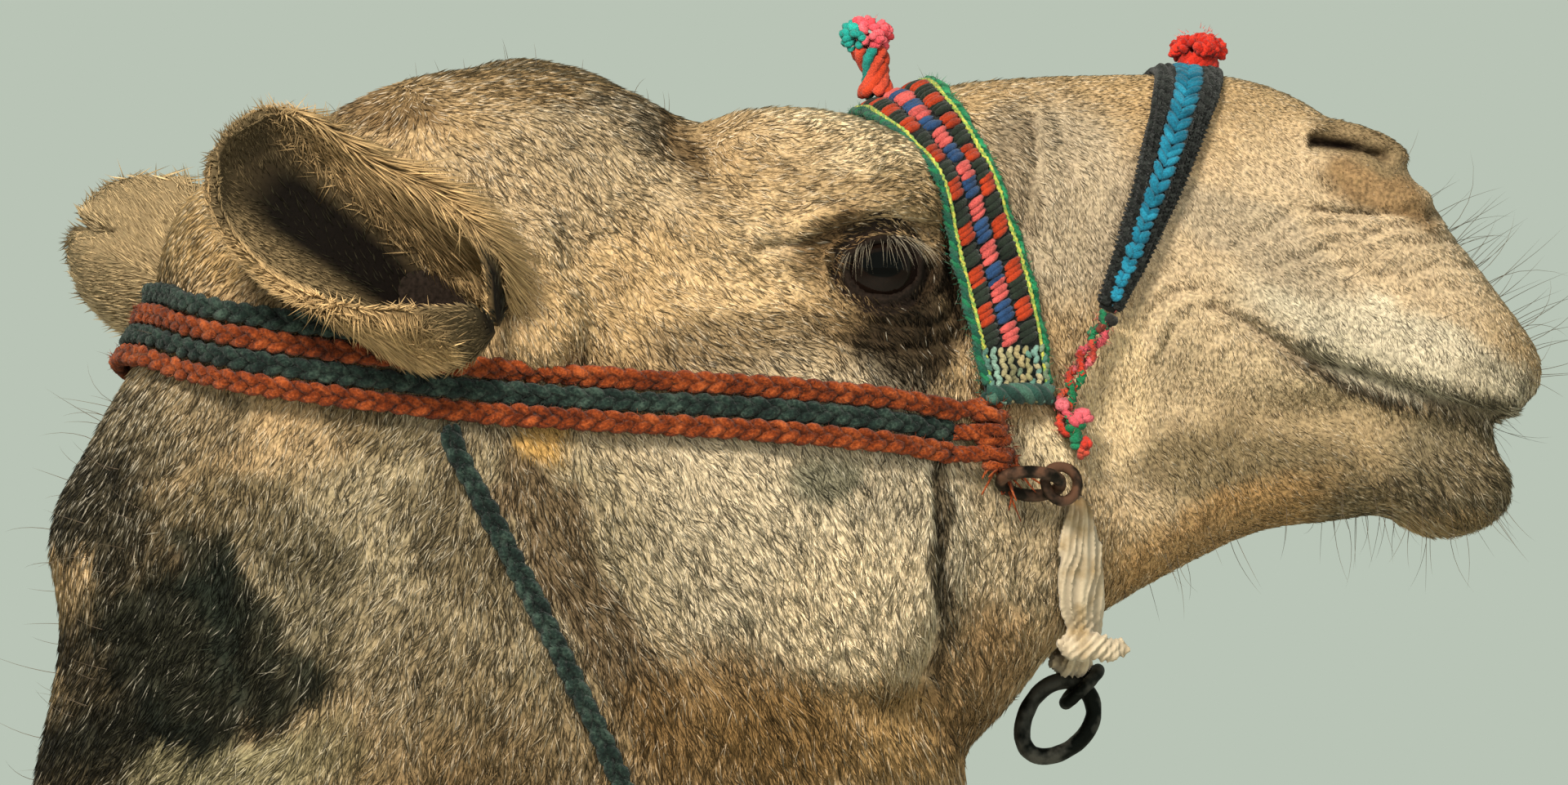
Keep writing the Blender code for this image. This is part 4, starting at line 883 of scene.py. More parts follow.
points, normals = read_points(skin.data)
local = points - np.array(HEAD)
flat = local[:, [0, 2]]
upper_part = (local[:, 2] > -0.36) & (local[:, 0] > -0.5)
open_eye = (lens(flat, (-.0115, -.0060), (.0180, .0128), 5) < 1) & (np.abs(local[:, 1]) > 0.035)
slit = (away_from_line(flat, NOSTRIL) < 0.0030) & (np.abs(local[:, 1]) > 0.010)
wanted = np.where(upper_part & ~open_eye & ~slit, 1.0, 0.0) * (1 - in_cup)
wanted *= np.where(lens(flat, *BARE_NOSE) < 1, 0.40, 1.0)
wanted *= 1 + 0.5 * np.clip((local[:, 0] - 0.04) / 0.08, 0, 1)
wanted *= np.where(local[:, 2] < -0.22, 0.45, 1.0)
root, facing = scatter(skin.data, wanted, HEAD_TUFTS)
count = len(root)
near = root - np.array(HEAD)
side_view = near[:, [0, 2]]
lie = lay_hair(root, facing, 15, 0.0070, 44)
muzzle = np.clip((near[:, 0] - 0.02) / 0.08, 0, 1)
length = 0.0052 + 0.0030 * np.clip((-near[:, 2] - 0.06) / 0.12, 0, 1) - 0.0022 * muzzle
length = np.where(lens(side_view, (.190, .034), (.028, .014), -24) < 1, 0.0014, length)
length = np.where(lens(side_view, (-.010, -.004), (.028, .021)) < 1, 0.0034, length)
length *= 0.70 + 0.60 * chance.random(count)
# the hanging edge of the upper lip and the beard of the chin are longer
lip = near_line(side_view, [(.156, -.034), (.194, -.048), (.240, -.0580)], .006)
length *= 1 + 1.0 * lip
chin = np.clip(1.25 - lens(side_view, (.228, -.088), (.034, .022)), 0, 1)
length *= 1 + 0.9 * chin
width = (0.00090 - 0.00022 * muzzle) * (0.75 + 0.5 * chance.random(count))
lift = np.clip(chance.normal(0.15, 0.06, count) - 0.05 * muzzle + 0.14 * chin + 0.12 * lip, 0.03, 0.6)
colour, dark, pale = hide_at(root)
luck = chance.random(count)
clump = 0.30 + 1.4 * cloud(root, 0.0030, 8)
is_dark = (luck < dark * clump)[:, None]
is_pale = (luck > 1 - pale * (1.65 - 0.65 * clump))[:, None]
even_coat = (0.5 * muzzle * (side_view[:, 1] > -0.02))[:, None]  # the nose is the plainest part
colour = colour * (0.82 + 0.36 * chance.random((count, 1)))
cream = tone_of("#e6dcc8")
crease_shade = np.zeros(count)
for line, deep, _ in CREASES:
    crease_shade = np.maximum(crease_shade, min(deep / 0.004, 1) * near_line(side_view, line, 0.0014))
colour = colour * (1 - 0.55 * crease_shade[:, None])  # painted shade along the creases, where the hair also parts and shows its dark roots
tip = np.where(is_dark, colour * 0.30, np.where(is_pale, colour * 0.50 + cream * 0.52, colour * 1.12))
rooted = np.where(is_dark, colour * 0.18, np.where(is_pale, colour * 0.86, colour * 0.56))
tip = tip * (1 - even_coat * 0.5) + colour * 1.10 * even_coat * 0.5
rooted = rooted * (1 - even_coat) + colour * 0.85 * even_coat
grow_tufts("coat_head", root, facing, lie, length, width, lift, rooted, tip, hair, near[:, 0])

# The rest of the coat is far from the eye and coarser: flat on the flanks and legs, in locks
# on the hump, and hanging in a beard down the front of the neck.
wanted = np.where(upper_part, 0.0, 1.0)
wanted *= np.where(points[:, 2] < 0.95, 0.75, 1.0)
wanted *= np.where(lens(flat, (-1.47, -0.22), (0.44, 0.26)) < 1, 1.8, 1.0)
wanted *= np.where(points[:, 2] < 0.030, 0.0, 1.0)
root, facing = scatter(skin.data, wanted, BODY_TUFTS)
count = len(root)
near = root - np.array(HEAD)
side_view = near[:, [0, 2]]
lie = lay_hair(root, facing, 12, 0.05, 60)
length = np.full(count, 0.019)
width = np.full(count, 0.0042)
lift = np.full(count, 0.13)
blend = np.clip((-0.33 - near[:, 2]) / 0.22, 0, 1)
above = near[:, 0] > -0.6
length = np.where(above, 0.009 + 0.011 * blend, length)
width = np.where(above, 0.0013 + 0.0026 * blend, width)
legs = np.clip((1.05 - root[:, 2]) / 0.25, 0, 1)
length -= 0.007 * legs
width -= 0.0014 * legs
feet = np.clip((0.16 - root[:, 2]) / 0.08, 0, 1)
length -= 0.005 * feet
width -= 0.0007 * feet
wool = np.clip(1.25 - lens(side_view, (-1.47, -0.19), (0.40, 0.22)), 0, 0.6) / 0.6
length += 0.017 * wool
width += 0.0022 * wool
lift += 0.10 * wool
beard = near_line(side_view, [(-.100, -.430), (-.125, -.535), (-.180, -.680), (-.300, -.850),
                              (-.470, -.985)], 0.050)
length += 0.030 * beard
lift += 0.12 * beard
switch = np.clip((1.12 - root[:, 2]) / 0.05, 0, 1) * (near[:, 0] < -2.27)
length += 0.045 * switch
length *= 0.70 + 0.60 * chance.random(count)
width *= 0.70 + 0.60 * chance.random(count)
lift = np.clip(lift + chance.normal(0, 0.05, count), 0.02, 0.6)
colour, dark, pale = hide_at(root)
luck = chance.random(count)
is_dark, is_pale = (luck < dark)[:, None], (luck > 1 - pale)[:, None]
colour = colour * (0.82 + 0.36 * chance.random((count, 1)))
tip = np.where(is_dark, colour * 0.62, np.where(is_pale, colour * 1.30, colour * 1.08))
rooted = np.where(is_dark, colour * 0.50, np.where(is_pale, colour * 0.95, colour * 0.78))
grow_tufts("coat_body", root, facing, lie, length, width, lift, rooted, tip, hair, root[:, 2])

# ---------------------------------------------------------------- eyes
# Each eye is a dark wet ball with a bulging front, a brown iris and a level slot of a pupil, which is nearly
# black by day. A fringe of long pale lashes hangs over it.

wet = finish_of("wet_eye", "#150e0a", 0.05, Specular_IOR_Level=0.12)
place = add_node(wet, "TexCoord")
apart = add_node(wet, "SeparateXYZ", {"Vector": place.outputs["Object"]})
level = add_node(wet, "Math", {0: apart.outputs["X"], 1: HEAD.x + EYE_AT[0]}, operation="SUBTRACT")
rise = add_node(wet, "Math", {0: apart.outputs["Z"], 1: HEAD.z + EYE_AT[2]}, operation="SUBTRACT")
spot = add_node(wet, "CombineXYZ", {"X": level.outputs[0], "Y": rise.outputs[0]})
wide = add_node(wet, "Math", {0: level.outputs[0], 1: 0.62}, operation="MULTIPLY")
slot = add_node(wet, "CombineXYZ", {"X": wide.outputs[0], "Y": rise.outputs[0]})
pupil = add_node(wet, "VectorMath", {0: slot.outputs[0]}, operation="LENGTH")
iris = add_node(wet, "VectorMath", {0: spot.outputs[0]}, operation="LENGTH")
brown = mixed(wet, noise(wet, 900.0, 3.0), paint("#080504"), paint("#140c08"))
iris_edge = ranged(wet, iris.outputs["Value"], 0.0115, 0.0128)
ball_tone = mixed(wet, iris_edge, brown, paint("#120c0a"))
pupil_edge = ranged(wet, pupil.outputs["Value"], 0.0048, 0.0054)
feed_shader(wet, Base_Color=mixed(wet, pupil_edge, paint("#030303"), ball_tone))

for side_name, side in SIDES:
    bm = bmesh.new()
    bmesh.ops.create_uvsphere(bm, u_segments=48, v_segments=32, radius=EYE_BALL,
                              matrix=Matrix.Rotation(math.radians(90), 4, "X"))
    for vert in bm.verts:
        front = max(0.0, vert.co.y * side / EYE_BALL)
        vert.co.y += side * 0.0012 * max(0.0, (front - 0.70) / 0.30) ** 1.2
        vert.co += HEAD + Vector((EYE_AT[0], side * EYE_AT[1], EYE_AT[2]))
    ball = make_object(f"eyeball_{side_name}", mesh_from(bm, f"eyeball_{side_name}"))
    bpy.ops.object.shade_smooth()
    ball.data.materials.append(wet)
    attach(ball, "root")
    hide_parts(f"eye_{side_name}")


def strands(name, hairs, radius, material):
    """Tapered hairs of three sides; each has its start, first direction, bend and length."""
    steps = 5
    bm = bmesh.new()
    for start, way, bend, length in hairs:
        point, way = Vector(start), Vector(way).normalized()
        rings = []
        for step in range(steps):
            aside = way.orthogonal().normalized()
            up = way.cross(aside)
            size = radius * (1 - step / steps) ** 0.7
            rings.append([
                bm.verts.new(point + (aside * math.cos(turn) + up * math.sin(turn)) * size)
                for turn in (0, 2.094, 4.189)
            ])
            point = point + way * (length / steps)
            way = (way + Vector(bend) / steps).normalized()
        end = bm.verts.new(point)
        bm.faces.new(rings[0])
        for near_ring, far_ring in zip(rings, rings[1:]):
            for i in range(3):
                bm.faces.new((near_ring[i - 1], near_ring[i], far_ring[i], far_ring[i - 1]))
        for i in range(3):
            bm.faces.new((rings[-1][i - 1], rings[-1][i], end))
    made = make_object(name, mesh_from(bm, name))
    made.data.materials.append(material)
    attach(made, "root")


# Single long hairs, smoother than the coat: the lashes catch a dusty light, the whiskers stay dark.
pale_hair = finish_of("pale_lash", "#8f8674", 0.50, Specular_IOR_Level=0.3)
brown_hair = finish_of("brown_whisker", "#4a4034", 0.50, Specular_IOR_Level=0.4)
spread_out = np.random.default_rng(12)
lashes = []
for side in (-1, 1):
    for _ in range(72):
        share = spread_out.random()
        turn = math.radians(158 - 132 * share)
        x = -0.0110 + 0.0150 * math.cos(turn)
        z = -0.0020 + 0.0088 * math.sin(turn) + spread_out.normal(0, 0.0008)
        y = 0.0722 - 0.0050 * abs(math.cos(turn)) ** 2 + 0.0022
        way = (0.70 * math.cos(turn) + 0.18 + spread_out.normal(0, 0.18), side * 0.62,
               -0.35 + spread_out.normal(0, 0.14))
        bend = (0.15, side * -0.35, -1.2 + spread_out.normal(0, 0.25))
        length = 0.0120 + 0.0075 * spread_out.random()
        lashes.append((HEAD + Vector((x, side * y, z)), way, bend, length))
strands("eyelashes", lashes, 0.00006, pale_hair)

whiskers = []
skin_tree = BVHTree.FromPolygons([vert.co for vert in skin.data.vertices],
                                 [tuple(face.vertices) for face in skin.data.polygons])
for centre, radii, number, out, long in (
    ((.205, .020), (.040, .030), 26, (.75, 0, .55), .024),
    ((.235, -.020), (.026, .030), 46, (.95, 0, .35), .026),
    ((.225, -.045), (.030, .010), 16, (.90, 0, -.30), .016),
    ((.215, -.092), (.040, .014), 44, (.15, 0, -1.0), .020),
    ((.140, -.106), (.050, .012), 16, (.05, 0, -1.0), .017),
    ((-.160, .080), (.090, .012), 22, (-.3, 0, 1.0), .008),
    ((-.010, .058), (.030, .012), 26, (.2, 0, 1.0), .010),
    ((-.310, -.120), (.020, .110), 44, (-1.0, 0, .30), .021),
):
    for _ in range(number):
        x = centre[0] + radii[0] * spread_out.uniform(-1, 1)
        z = centre[1] + radii[1] * spread_out.uniform(-1, 1)
        y = spread_out.uniform(-0.045, 0.045)
        start, normal, _, _ = skin_tree.find_nearest(HEAD + Vector((x, y, z)))
        way = normal + Vector(out) * 0.9 + Vector(spread_out.normal(0, 0.18, 3))
        bend = spread_out.normal(0, 0.45, 3)
        whiskers.append((start, way, bend, long * spread_out.uniform(0.7, 1.5)))
strands("whiskers", whiskers, 0.00016, brown_hair)

# ---------------------------------------------------------------- ears
# Each ear is a short thick cup of gristle, rolled shut at its root, with a broad furry margin.
# It is nearly bare deep inside and painted dark there, a painted shade, and the fur of its rim stands out past
# the edge.

# The ear's own skin is as dull as the hide and finer in grain.
ear_hide = finish_of("ear_skin", "#6d573c", 0.80, Specular_IOR_Level=0.25)
grain = noise(ear_hide, 560.0, 3.0)
feed_shader(ear_hide, Base_Color=mixed(ear_hide, 0.5, marking_of(ear_hide), grain, "MULTIPLY"),
            Normal=relief(ear_hide, grain, 0.5, 0.0008))

for side_name, side in SIDES:
    long, (ax, ay, az), (ox, oy, oz) = EARS[side_name]
    foot = HEAD + Vector((EAR_FOOT[0], side * EAR_FOOT[1], EAR_FOOT[2]))
    axis = Vector((ax, side * ay, az)).normalized()
    opens = Vector((ox, side * oy, oz))
    opens = (opens - axis * opens.dot(axis)).normalized()
    across = axis.cross(opens).normalized() * -side  # towards the ear's front edge
    bm = bmesh.new()
    bmesh.ops.create_grid(bm, x_segments=40, y_segments=34, size=1)
    for vert in bm.verts:
        v, u = vert.co.x, (vert.co.y + 1) / 2
        half = EAR_HALF * (0.66 + 0.66 * u) * max(0.0, 1 - u**4) ** 0.45 * min(1, 0.60 + 2.5 * u)
        half = max(half, 0.004)
        # the left ear has an old nick in its tip
        nick = 0.09 * math.exp(-(((v - 0.30) / 0.20) ** 2)) * u**3 if side > 0 else 0
        opening = min(1.0, max(0.0, (u - 0.02) / 0.66))
        curl = math.radians(177 - 113 * ease(opening))
        radius = half / math.sin(min(curl, math.pi / 2))
        turn = v * curl
        rise = radius * (0.45 - math.cos(turn)) - 0.006 * u * u
        rise += 0.004 * math.sin(u * 9) * max(0.0, abs(v) - 0.6)
        vert.co = foot + axis * long * u * (0.985 - nick) + across * radius * math.sin(turn) + opens * rise
    ear = make_object(f"ear_skin_{side_name}", mesh_from(bm, f"ear_skin_{side_name}"))
    apply_modifier(ear, "SOLIDIFY", thickness=0.0036, offset=0)
    apply_modifier(ear, "SMOOTH", factor=0.5, iterations=3)
    apply_modifier(ear, "TRIANGULATE")
    bpy.ops.object.shade_smooth()

    def ear_tone(spots, outs):
        """How deep in painted shade, near the edge, far along, far forward and far inside each spot of the ear
        is.
        """
        rel = spots - np.array(foot)
        u = np.clip(rel @ np.array(axis) / long, 0, 1)
        ahead = np.clip(rel @ np.array(across) / (EAR_HALF * (0.66 + 0.66 * u)), -1.3, 1.3)
        inner = np.clip((outs @ np.array(opens) + 0.15) / 0.4, 0, 1)
        band = np.exp(-(((ahead - 0.10 - 0.06 * u) / 0.38) ** 4)) * np.clip(3.0 - 3.0 * u, 0.10, 1)
        fold = np.clip((1.05 - np.abs(ahead)) / 0.4, 0, 1)
        return inner * fold * np.clip(band * 1.1 + 0.20 * (1 - u), 0, 1), np.abs(ahead), u, ahead, inner

    tan = tone_of("#8f7753" if side < 0 else "#a9936e")
    flap = tone_of("#5f5139")
    shadow = tone_of("#120e0b")
    spots, outs = read_points(ear.data)
    deep, margin, u, ahead, inner = (part[:, None] for part in ear_tone(spots, outs))
    edge = np.clip((margin - 0.62) / 0.28, 0, 1)
    tone = tan * (1.2 - 0.4 * u) * (1 - inner) + (flap * (1 - edge) + tan * 1.15 * edge) * inner
    # deep in the cup the skin is painted near black: a painted shade
    tint_points(ear.data, (tone * (1 - deep) + shadow * deep) * 0.7)
    ear.data.materials.append(ear_hide)
    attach(ear, "root")
    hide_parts(f"ear_{side_name}")
    # fur: short on the back, long over the front fold, and a fringe that hangs from the rear edge
    root, facing = scatter(ear.data, 1.0 - 0.82 * deep[:, 0], EAR_TUFTS)
    count = len(root)
    deep, margin, u, ahead, inner = ear_tone(root, facing)
    front_fold = np.clip((ahead - 0.45) / 0.3, 0, 1) * inner
    fringe = np.clip((-ahead - 0.55) / 0.3, 0, 1) * np.clip((0.62 - u) / 0.25, 0, 1)
    fringe = fringe * np.clip(u / 0.12, 0.2, 1)
    out_along = np.sign(ahead)[:, None] * np.array(across) * (0.25 + 0.5 * margin[:, None])
    lie = np.array(axis) * 0.9 + out_along
    lie = lie * (1 - front_fold[:, None]) + np.array([0.55, 0, -0.85]) * front_fold[:, None]
    lie = lie * (1 - fringe[:, None]) + np.array([0.30, side * 0.25, -0.95]) * fringe[:, None]
    rim = (np.clip((ahead - 0.70) / 0.2, 0, 1) * np.clip((0.80 - u) / 0.15, 0, 1))[:, None]
    lie = lie * (1 - rim) + np.array([0.80, side * 0.30, -0.50]) * rim
    lie = square_to(lie + chance.normal(0, 0.17, (count, 3)), facing)
    length = 0.0050 + 0.0030 * np.clip(margin - 0.45, 0, 0.6) / 0.6
    length = length + 0.0070 * front_fold + 0.0045 * fringe
    length += 0.0090 * rim[:, 0]
    length *= 0.6 + 0.8 * chance.random(count)
    width = 0.00085 * (0.7 + 0.6 * chance.random(count))
    lift = np.clip(0.14 + (0.16 * margin + 0.20 * front_fold) * chance.random(count), 0.05, 0.5)
    edge = np.clip((margin - 0.62) / 0.28, 0, 1)[:, None]
    inner, front_fold = inner[:, None], front_fold[:, None]
    lining = flap * 1.15 * (1 - edge) + tan * 1.35 * edge
    tone = tan * (1.2 - 0.4 * u[:, None]) * (1 - inner) + lining * inner
    tone = tone * (1 - front_fold) + tan * 1.5 * front_fold
    tone = tone * (1 + 0.25 * fringe[:, None])
    # the fur deep in the cup is painted near black too: a painted shade
    tone = tone * (1 - deep[:, None]) + tone_of("#1d1b13") * deep[:, None]
    tone = tone * (0.70 + 0.52 * chance.random((count, 1)) + 0.5 * (chance.random((count, 1)) > 0.85))
    grow_tufts(f"coat_ear_{side_name}", root, facing, lie, length, width, lift, tone * 0.60, tone * 1.20,
               hair, u)

# ---------------------------------------------------------------- plaited ropes
# Three rust and teal ropes lie side by side along each cheek and meet over the nape, where a
# fourth runs over them below the ears. A fifth goes under the throat. Each is a soft plait of
# three strands of thick wool yarn, with a fuzz of loose fibres.

ROPES = {  # the right half of each route, from its front end to the midline, and the plait's size
    "teal_middle": ([
        (1.0762, -.0709, 2.1802), (1.0537, -.0813, 2.1831), (1.0296, -.0864, 2.1851), (1.0054, -.0889, 2.1869),
        (.9812, -.0886, 2.1883), (.9571, -.0865, 2.1894), (.9330, -.0847, 2.1907), (.9090, -.0832, 2.1923),
        (.8849, -.0820, 2.1942), (.8606, -.0817, 2.1965), (.8362, -.0786, 2.1995), (.8119, -.0735, 2.2030),
        (.7908, -.0642, 2.2071), (.7772, -.0459, 2.2119), (.7670, -.0247, 2.2174), (.7630, .0005, 2.2195)],
        1.12, "teal"),
    "rust_upper": ([
        (1.0789, -.0749, 2.1878), (1.0546, -.0821, 2.1918), (1.0302, -.0859, 2.1939), (1.0059, -.0876, 2.1956),
        (.9817, -.0876, 2.1970), (.9576, -.0850, 2.1981), (.9336, -.0832, 2.1994), (.9097, -.0823, 2.2010),
        (.8856, -.0835, 2.2028), (.8615, -.0831, 2.2051), (.8371, -.0802, 2.2081), (.8129, -.0748, 2.2117),
        (.7914, -.0656, 2.2157), (.7778, -.0476, 2.2205), (.7705, -.0246, 2.2254), (.7664, .0005, 2.2276)],
        1.12, "rust"),
    "rust_lower": ([
        (1.0761, -.0724, 2.1716), (1.0534, -.0831, 2.1745), (1.0291, -.0878, 2.1765), (1.0049, -.0906, 2.1783),
        (.9806, -.0901, 2.1796), (.9565, -.0881, 2.1808), (.9324, -.0862, 2.1821), (.9083, -.0847, 2.1836),
        (.8842, -.0805, 2.1855), (.8598, -.0806, 2.1878), (.8353, -.0773, 2.1909), (.8108, -.0725, 2.1944),
        (.7900, -.0628, 2.1985), (.7762, -.0449, 2.2033), (.7632, -.0251, 2.2095), (.7592, .0005, 2.2115)],
        1.12, "rust"),
    "teal_crown": ([
        (.8865, -.0849, 2.2115), (.8624, -.0841, 2.2138), (.8381, -.0816, 2.2167), (.8139, -.0760, 2.2204),
        (.7922, -.0669, 2.2244), (.7782, -.0494, 2.2292), (.7742, -.0248, 2.2336), (.7705, .0005, 2.2356)],
        1.12, "teal"),
    "throat": ([
        (.8766, -.0812, 2.1800),
        (.8794, -.0824, 2.1691), (.8905, -.0855, 2.1477), (.9014, -.0875, 2.1262), (.9123, -.0896, 2.1046),
        (.9230, -.0909, 2.0827), (.9337, -.0910, 2.0608), (.9442, -.0885, 2.0389), (.9549, -.0853, 2.0172),
        (.9659, -.0795, 1.9959), (.9769, -.0699, 1.9761), (.9879, -.0574, 1.9584), (.9990, -.0432, 1.9433),
        (1.0086, -.0232, 1.9324), (1.0125, .0005, 1.9270)],
        1.15, "teal"),
}
PLAIT_PITCH = 0.0215  # one full turn of a strand through the plait


def wool(name, dark, base, light):
    """Spun wool yarn: matt, with soft fibres that catch the light at its edges."""
    material = finish_of(name, base, 0.92, Sheen_Weight=0.06, Sheen_Roughness=0.5, Specular_IOR_Level=0.15)
    fibres = noise(material, 800.0, 5.0)
    worn = ranged(material, summed(material, fibres, noise(material, 120.0, 3.0)), 0.72, 1.28)
    ramp = add_node(material, "ValToRGB", {"Fac": worn})
    ramp.color_ramp.elements[0].color = paint(dark)
    ramp.color_ramp.elements[1].color = paint(light)
    ramp.color_ramp.elements.new(0.5).color = paint(base)
    # the colour kept on the points is the painted shade between the strands
    crevice_shaded = mixed(material, 1.0, ramp.outputs["Color"], marking_of(material), "MULTIPLY")
    feed_shader(material, Base_Color=crevice_shaded, Normal=relief(material, fibres, 1.0, 0.0014))
    return material


WOOL = {
    "rust": wool("rust_wool", "#3e180a", "#6c2e11", "#944a24"),
    "teal": wool("teal_wool", "#0e1514", "#1b2823", "#38473e"),
}


def walked(line):
    """How far along the line each of its points is."""
    return np.concatenate([[0], np.cumsum(np.linalg.norm(np.diff(line, axis=0), axis=1))])


def even(line, step):
    """The line on a smooth curve through its points, walked in even steps, and the way walked."""
    line = smooth_through(line, 8)
    run = walked(line)
    at = np.linspace(0, run[-1], max(2, round(run[-1] / step) + 1))
    return np.stack([np.interp(at, run, line[:, i]) for i in range(3)], axis=1), at


def mirrored(half):
    """A route from its right half, which ends on the midline."""
    return [*half, *((x, 2 * HEAD.y - y, z) for x, y, z in reversed(half[:-1]))]


def outwards(line):
    """At each point of a laid line, the way across it and the way off the skin."""
    ahead = unit(np.gradient(line, axis=0))
    away = []
    for point in line:
        _, normal, _, _ = skin_tree.find_nearest(Vector(point))
        away.append(normal)
    away = np.array([sum(away[max(0, i - 2) : i + 3], Vector()) for i in range(len(away))])
    away = square_to(away, ahead)
    return np.cross(ahead, away), away


def add_part(parts, verts, faces, code):
    """Keeps one closed bit of yarn: its points, its triangles turned outwards, and its colour."""
    faces = np.asarray(faces)
    a, b, c = (verts[faces[:, i]] for i in range(3))
    if np.sum(a * np.cross(b, c)) < np.sum(verts.mean(axis=0) * np.cross(b - a, c - a)):
        faces = faces[:, ::-1]
    parts.append((verts, faces, np.tile(tone_of(code), (len(verts), 1))))


def wall_faces(count, around):
    """The triangles between count loops of around points each."""
    ring = np.arange(around)
    after = (ring + 1) % around
    start = np.arange(count - 1)[:, None] * around
    quads = np.stack([start + ring, start + after, start + around + after, start + around + ring], axis=-1)
    quads = quads.reshape(-1, 4)
    return np.concatenate([quads[:, [0, 1, 2]], quads[:, [0, 2, 3]]])


def add_tube(parts, line, radius, around=7, code="#ffffff"):
    """A round strand along the line, with closed ends; radius may differ at each point."""
    ahead = unit(np.gradient(line, axis=0))
    side = unit(np.cross(ahead, np.array([0.31, 0.27, 0.91])))
    up = np.cross(side, ahead)
    radius = np.broadcast_to(radius, len(line))[:, None, None]
    turns = np.linspace(0, 2 * math.pi, around, endpoint=False)[None, :, None]
    loops = line[:, None] + (side[:, None] * np.cos(turns) + up[:, None] * np.sin(turns)) * radius
    count = len(line)
    ring = np.arange(around)
    after = (ring + 1) % around
    last = (count - 1) * around
    caps = [np.stack([after, ring, np.full(around, count * around)], axis=1),
            np.stack([last + ring, last + after, np.full(around, count * around + 1)], axis=1)]
    faces = np.concatenate([wall_faces(count, around), *caps])
    verts = np.concatenate([loops.reshape(-1, 3), line[:1], line[-1:]])
    add_part(parts, verts, faces, code)


def add_fuzz(parts, line, radius, number, long, code="#ffffff"):
    """Loose fibres that stand off a yarn, each a thin spike of four faces."""
    at = line[spread_out.integers(len(line), size=number)]
    way = unit(spread_out.normal(0, 1, (number, 3)))
    start = at + way * np.asarray(radius) * 0.85
    run = unit(way + spread_out.normal(0, 0.8, (number, 3))) * long
    run = run * spread_out.uniform(0.5, 1.3, (number, 1))
    thin = unit(np.cross(run, [0.3, 0.5, 0.8])) * 0.00016
    back = unit(np.cross(run, thin)) * 0.00024
    verts = np.stack([start - thin, start + thin, start + back, start + run], axis=1).reshape(-1, 3)
    add_part(parts, verts, spike_faces(number), code)


def build_yarn(parts, name, material, slot, *nodes):
    """All the bits as one piece that stands for the halter's nodes."""
    before = np.cumsum([0, *(len(part[0]) for part in parts)])
    verts = np.concatenate([part[0] for part in parts])
    faces = np.concatenate([part[1] + start for part, start in zip(parts, before)])
    mesh = mesh_of(name, verts, faces)
    tint_points(mesh, np.concatenate([part[2] for part in parts]))
    made = make_object(name, mesh)
    bpy.ops.object.shade_smooth()
    mesh.materials.append(material)
    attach(made, "root")
    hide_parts(*nodes)


def flipped(parts):
    """The same bits on the other side of the midline."""
    return [(verts * [1, -1, 1] + [0, 2 * HEAD.y, 0], faces[:, ::-1], tone) for verts, faces, tone in parts]


def lay_rope(name, line, size, material, slot, node):
    """A plait of three strands along the line, its broad side to the skin."""
    line, run = even(line, 0.0016)
    across, away = outwards(line)
    parts = []
    for strand in range(3):
        turn = 2 * math.pi * (run / PLAIT_PITCH + strand / 3)
        path = line + across * (0.00205 * size * np.sin(turn))[:, None]
        path = path + away * (0.00115 * size * np.sin(2 * turn))[:, None]
        path = path + across * (0.0004 * np.sin(run * 170 + strand * 1.7) * np.sin(run * 61))[:, None]
        thick = 0.00200 * size * (1 + 0.10 * np.sin(run * 900 + strand * 2))
        thick = thick * np.clip(np.minimum(run, run[-1] - run) / 0.003 + 0.35, 0, 1)  # thinner at the ends
        add_tube(parts, path, thick)
        # painted shade lies where the strands cross, deep in the plait
        verts, faces, tone = parts[-1]
        middle = np.concatenate([np.repeat(line, 7, axis=0), line[:1], line[-1:]])
        out = np.linalg.norm(verts - middle, axis=1) / (0.0040 * size)
        parts[-1] = verts, faces, tone * np.clip(out * 1.6 - 0.45, 0.16, 1)[:, None]
    add_fuzz(parts, line, 0.0038 * size, int(len(line) * 6.0), 0.0026)
    build_yarn(parts, name, material, slot, node)


for name, (half, size, colour) in ROPES.items():
    lay_rope(f"plait_{name}", mirrored(half), size, WOOL[colour], f"{colour}_wool", f"rope_{name}")

# The lashing: rust yarn wound round the rope ends in front of the cheek, with a frayed tail.
for side_name, side in SIDES:
    parts = []
    middle = np.array([(1.0890, -.0735, 2.1905), (1.0905, -.0735, 2.1850), (1.0915, -.0715, 2.1790),
                       (1.0935, -.0705, 2.1725), (1.0950, -.0705, 2.1675)])
    core, run = even(middle, 0.0005)
    wind = np.stack([0.9 * np.cos(run * 1250), 0.6 * np.sin(run * 1250),
                     0.25 * np.sin(run * 1250 + 1)], axis=1)
    add_tube(parts, core + wind * 0.0058, 0.0021 + 0.0004 * np.sin(run * 3100))
    wind = np.stack([0.75 * np.cos(run * 800 + 2), 0.7 * np.sin(run * 800 + 2),
                     np.cos(run * 500) * 0.3], axis=1)
    add_tube(parts, core + wind * 0.0050 + [0, -0.0016, 0], 0.0022 + 0.0005 * np.sin(run * 2300))
    for start, end, sag in (((1.0760, -.0755, 2.1875), (1.0885, -.0745, 2.1890), .0012),
                            ((1.0757, -.0735, 2.1716), (1.0925, -.0725, 2.1735), -.0010),
                            ((1.0762, -.0720, 2.1802), (1.0900, -.0735, 2.1800), .0)):
        bridge = [Vector(start).lerp(Vector(end), t) + Vector((0, 0, sag * math.sin(t * math.pi)))
                  for t in (0, .5, 1)]
        path, run = even(bridge, 0.0010)
        for phase in (0, 2.1, 4.2):
            twist = np.stack([run * 0, np.cos(run * 500 + phase), np.sin(run * 500 + phase)], axis=1)
            add_tube(parts, path + twist * 0.0017, 0.0018)
    for _ in range(26):
        start = Vector((1.0955, -.0705, 2.1690)) + Vector(spread_out.normal(0, 0.0022, 3))
        way = Vector((0.25, -0.15, -1)) + Vector(spread_out.normal(0, 0.35, 3))
        tail = [start, start + way * 0.006, start + way * 0.011 + Vector(spread_out.normal(0, 0.0016, 3))]
        path, run = even(tail, 0.002)
        add_tube(parts, path, np.linspace(0.0009, 0.0003, len(path)), 4)
    add_fuzz(parts, core, 0.0080, 320, 0.0042)
    parts = flipped(parts) if side > 0 else parts
    build_yarn(parts, f"wound_lashing_{side_name}", WOOL["rust"], "rust_wool", f"lashing_{side_name}")

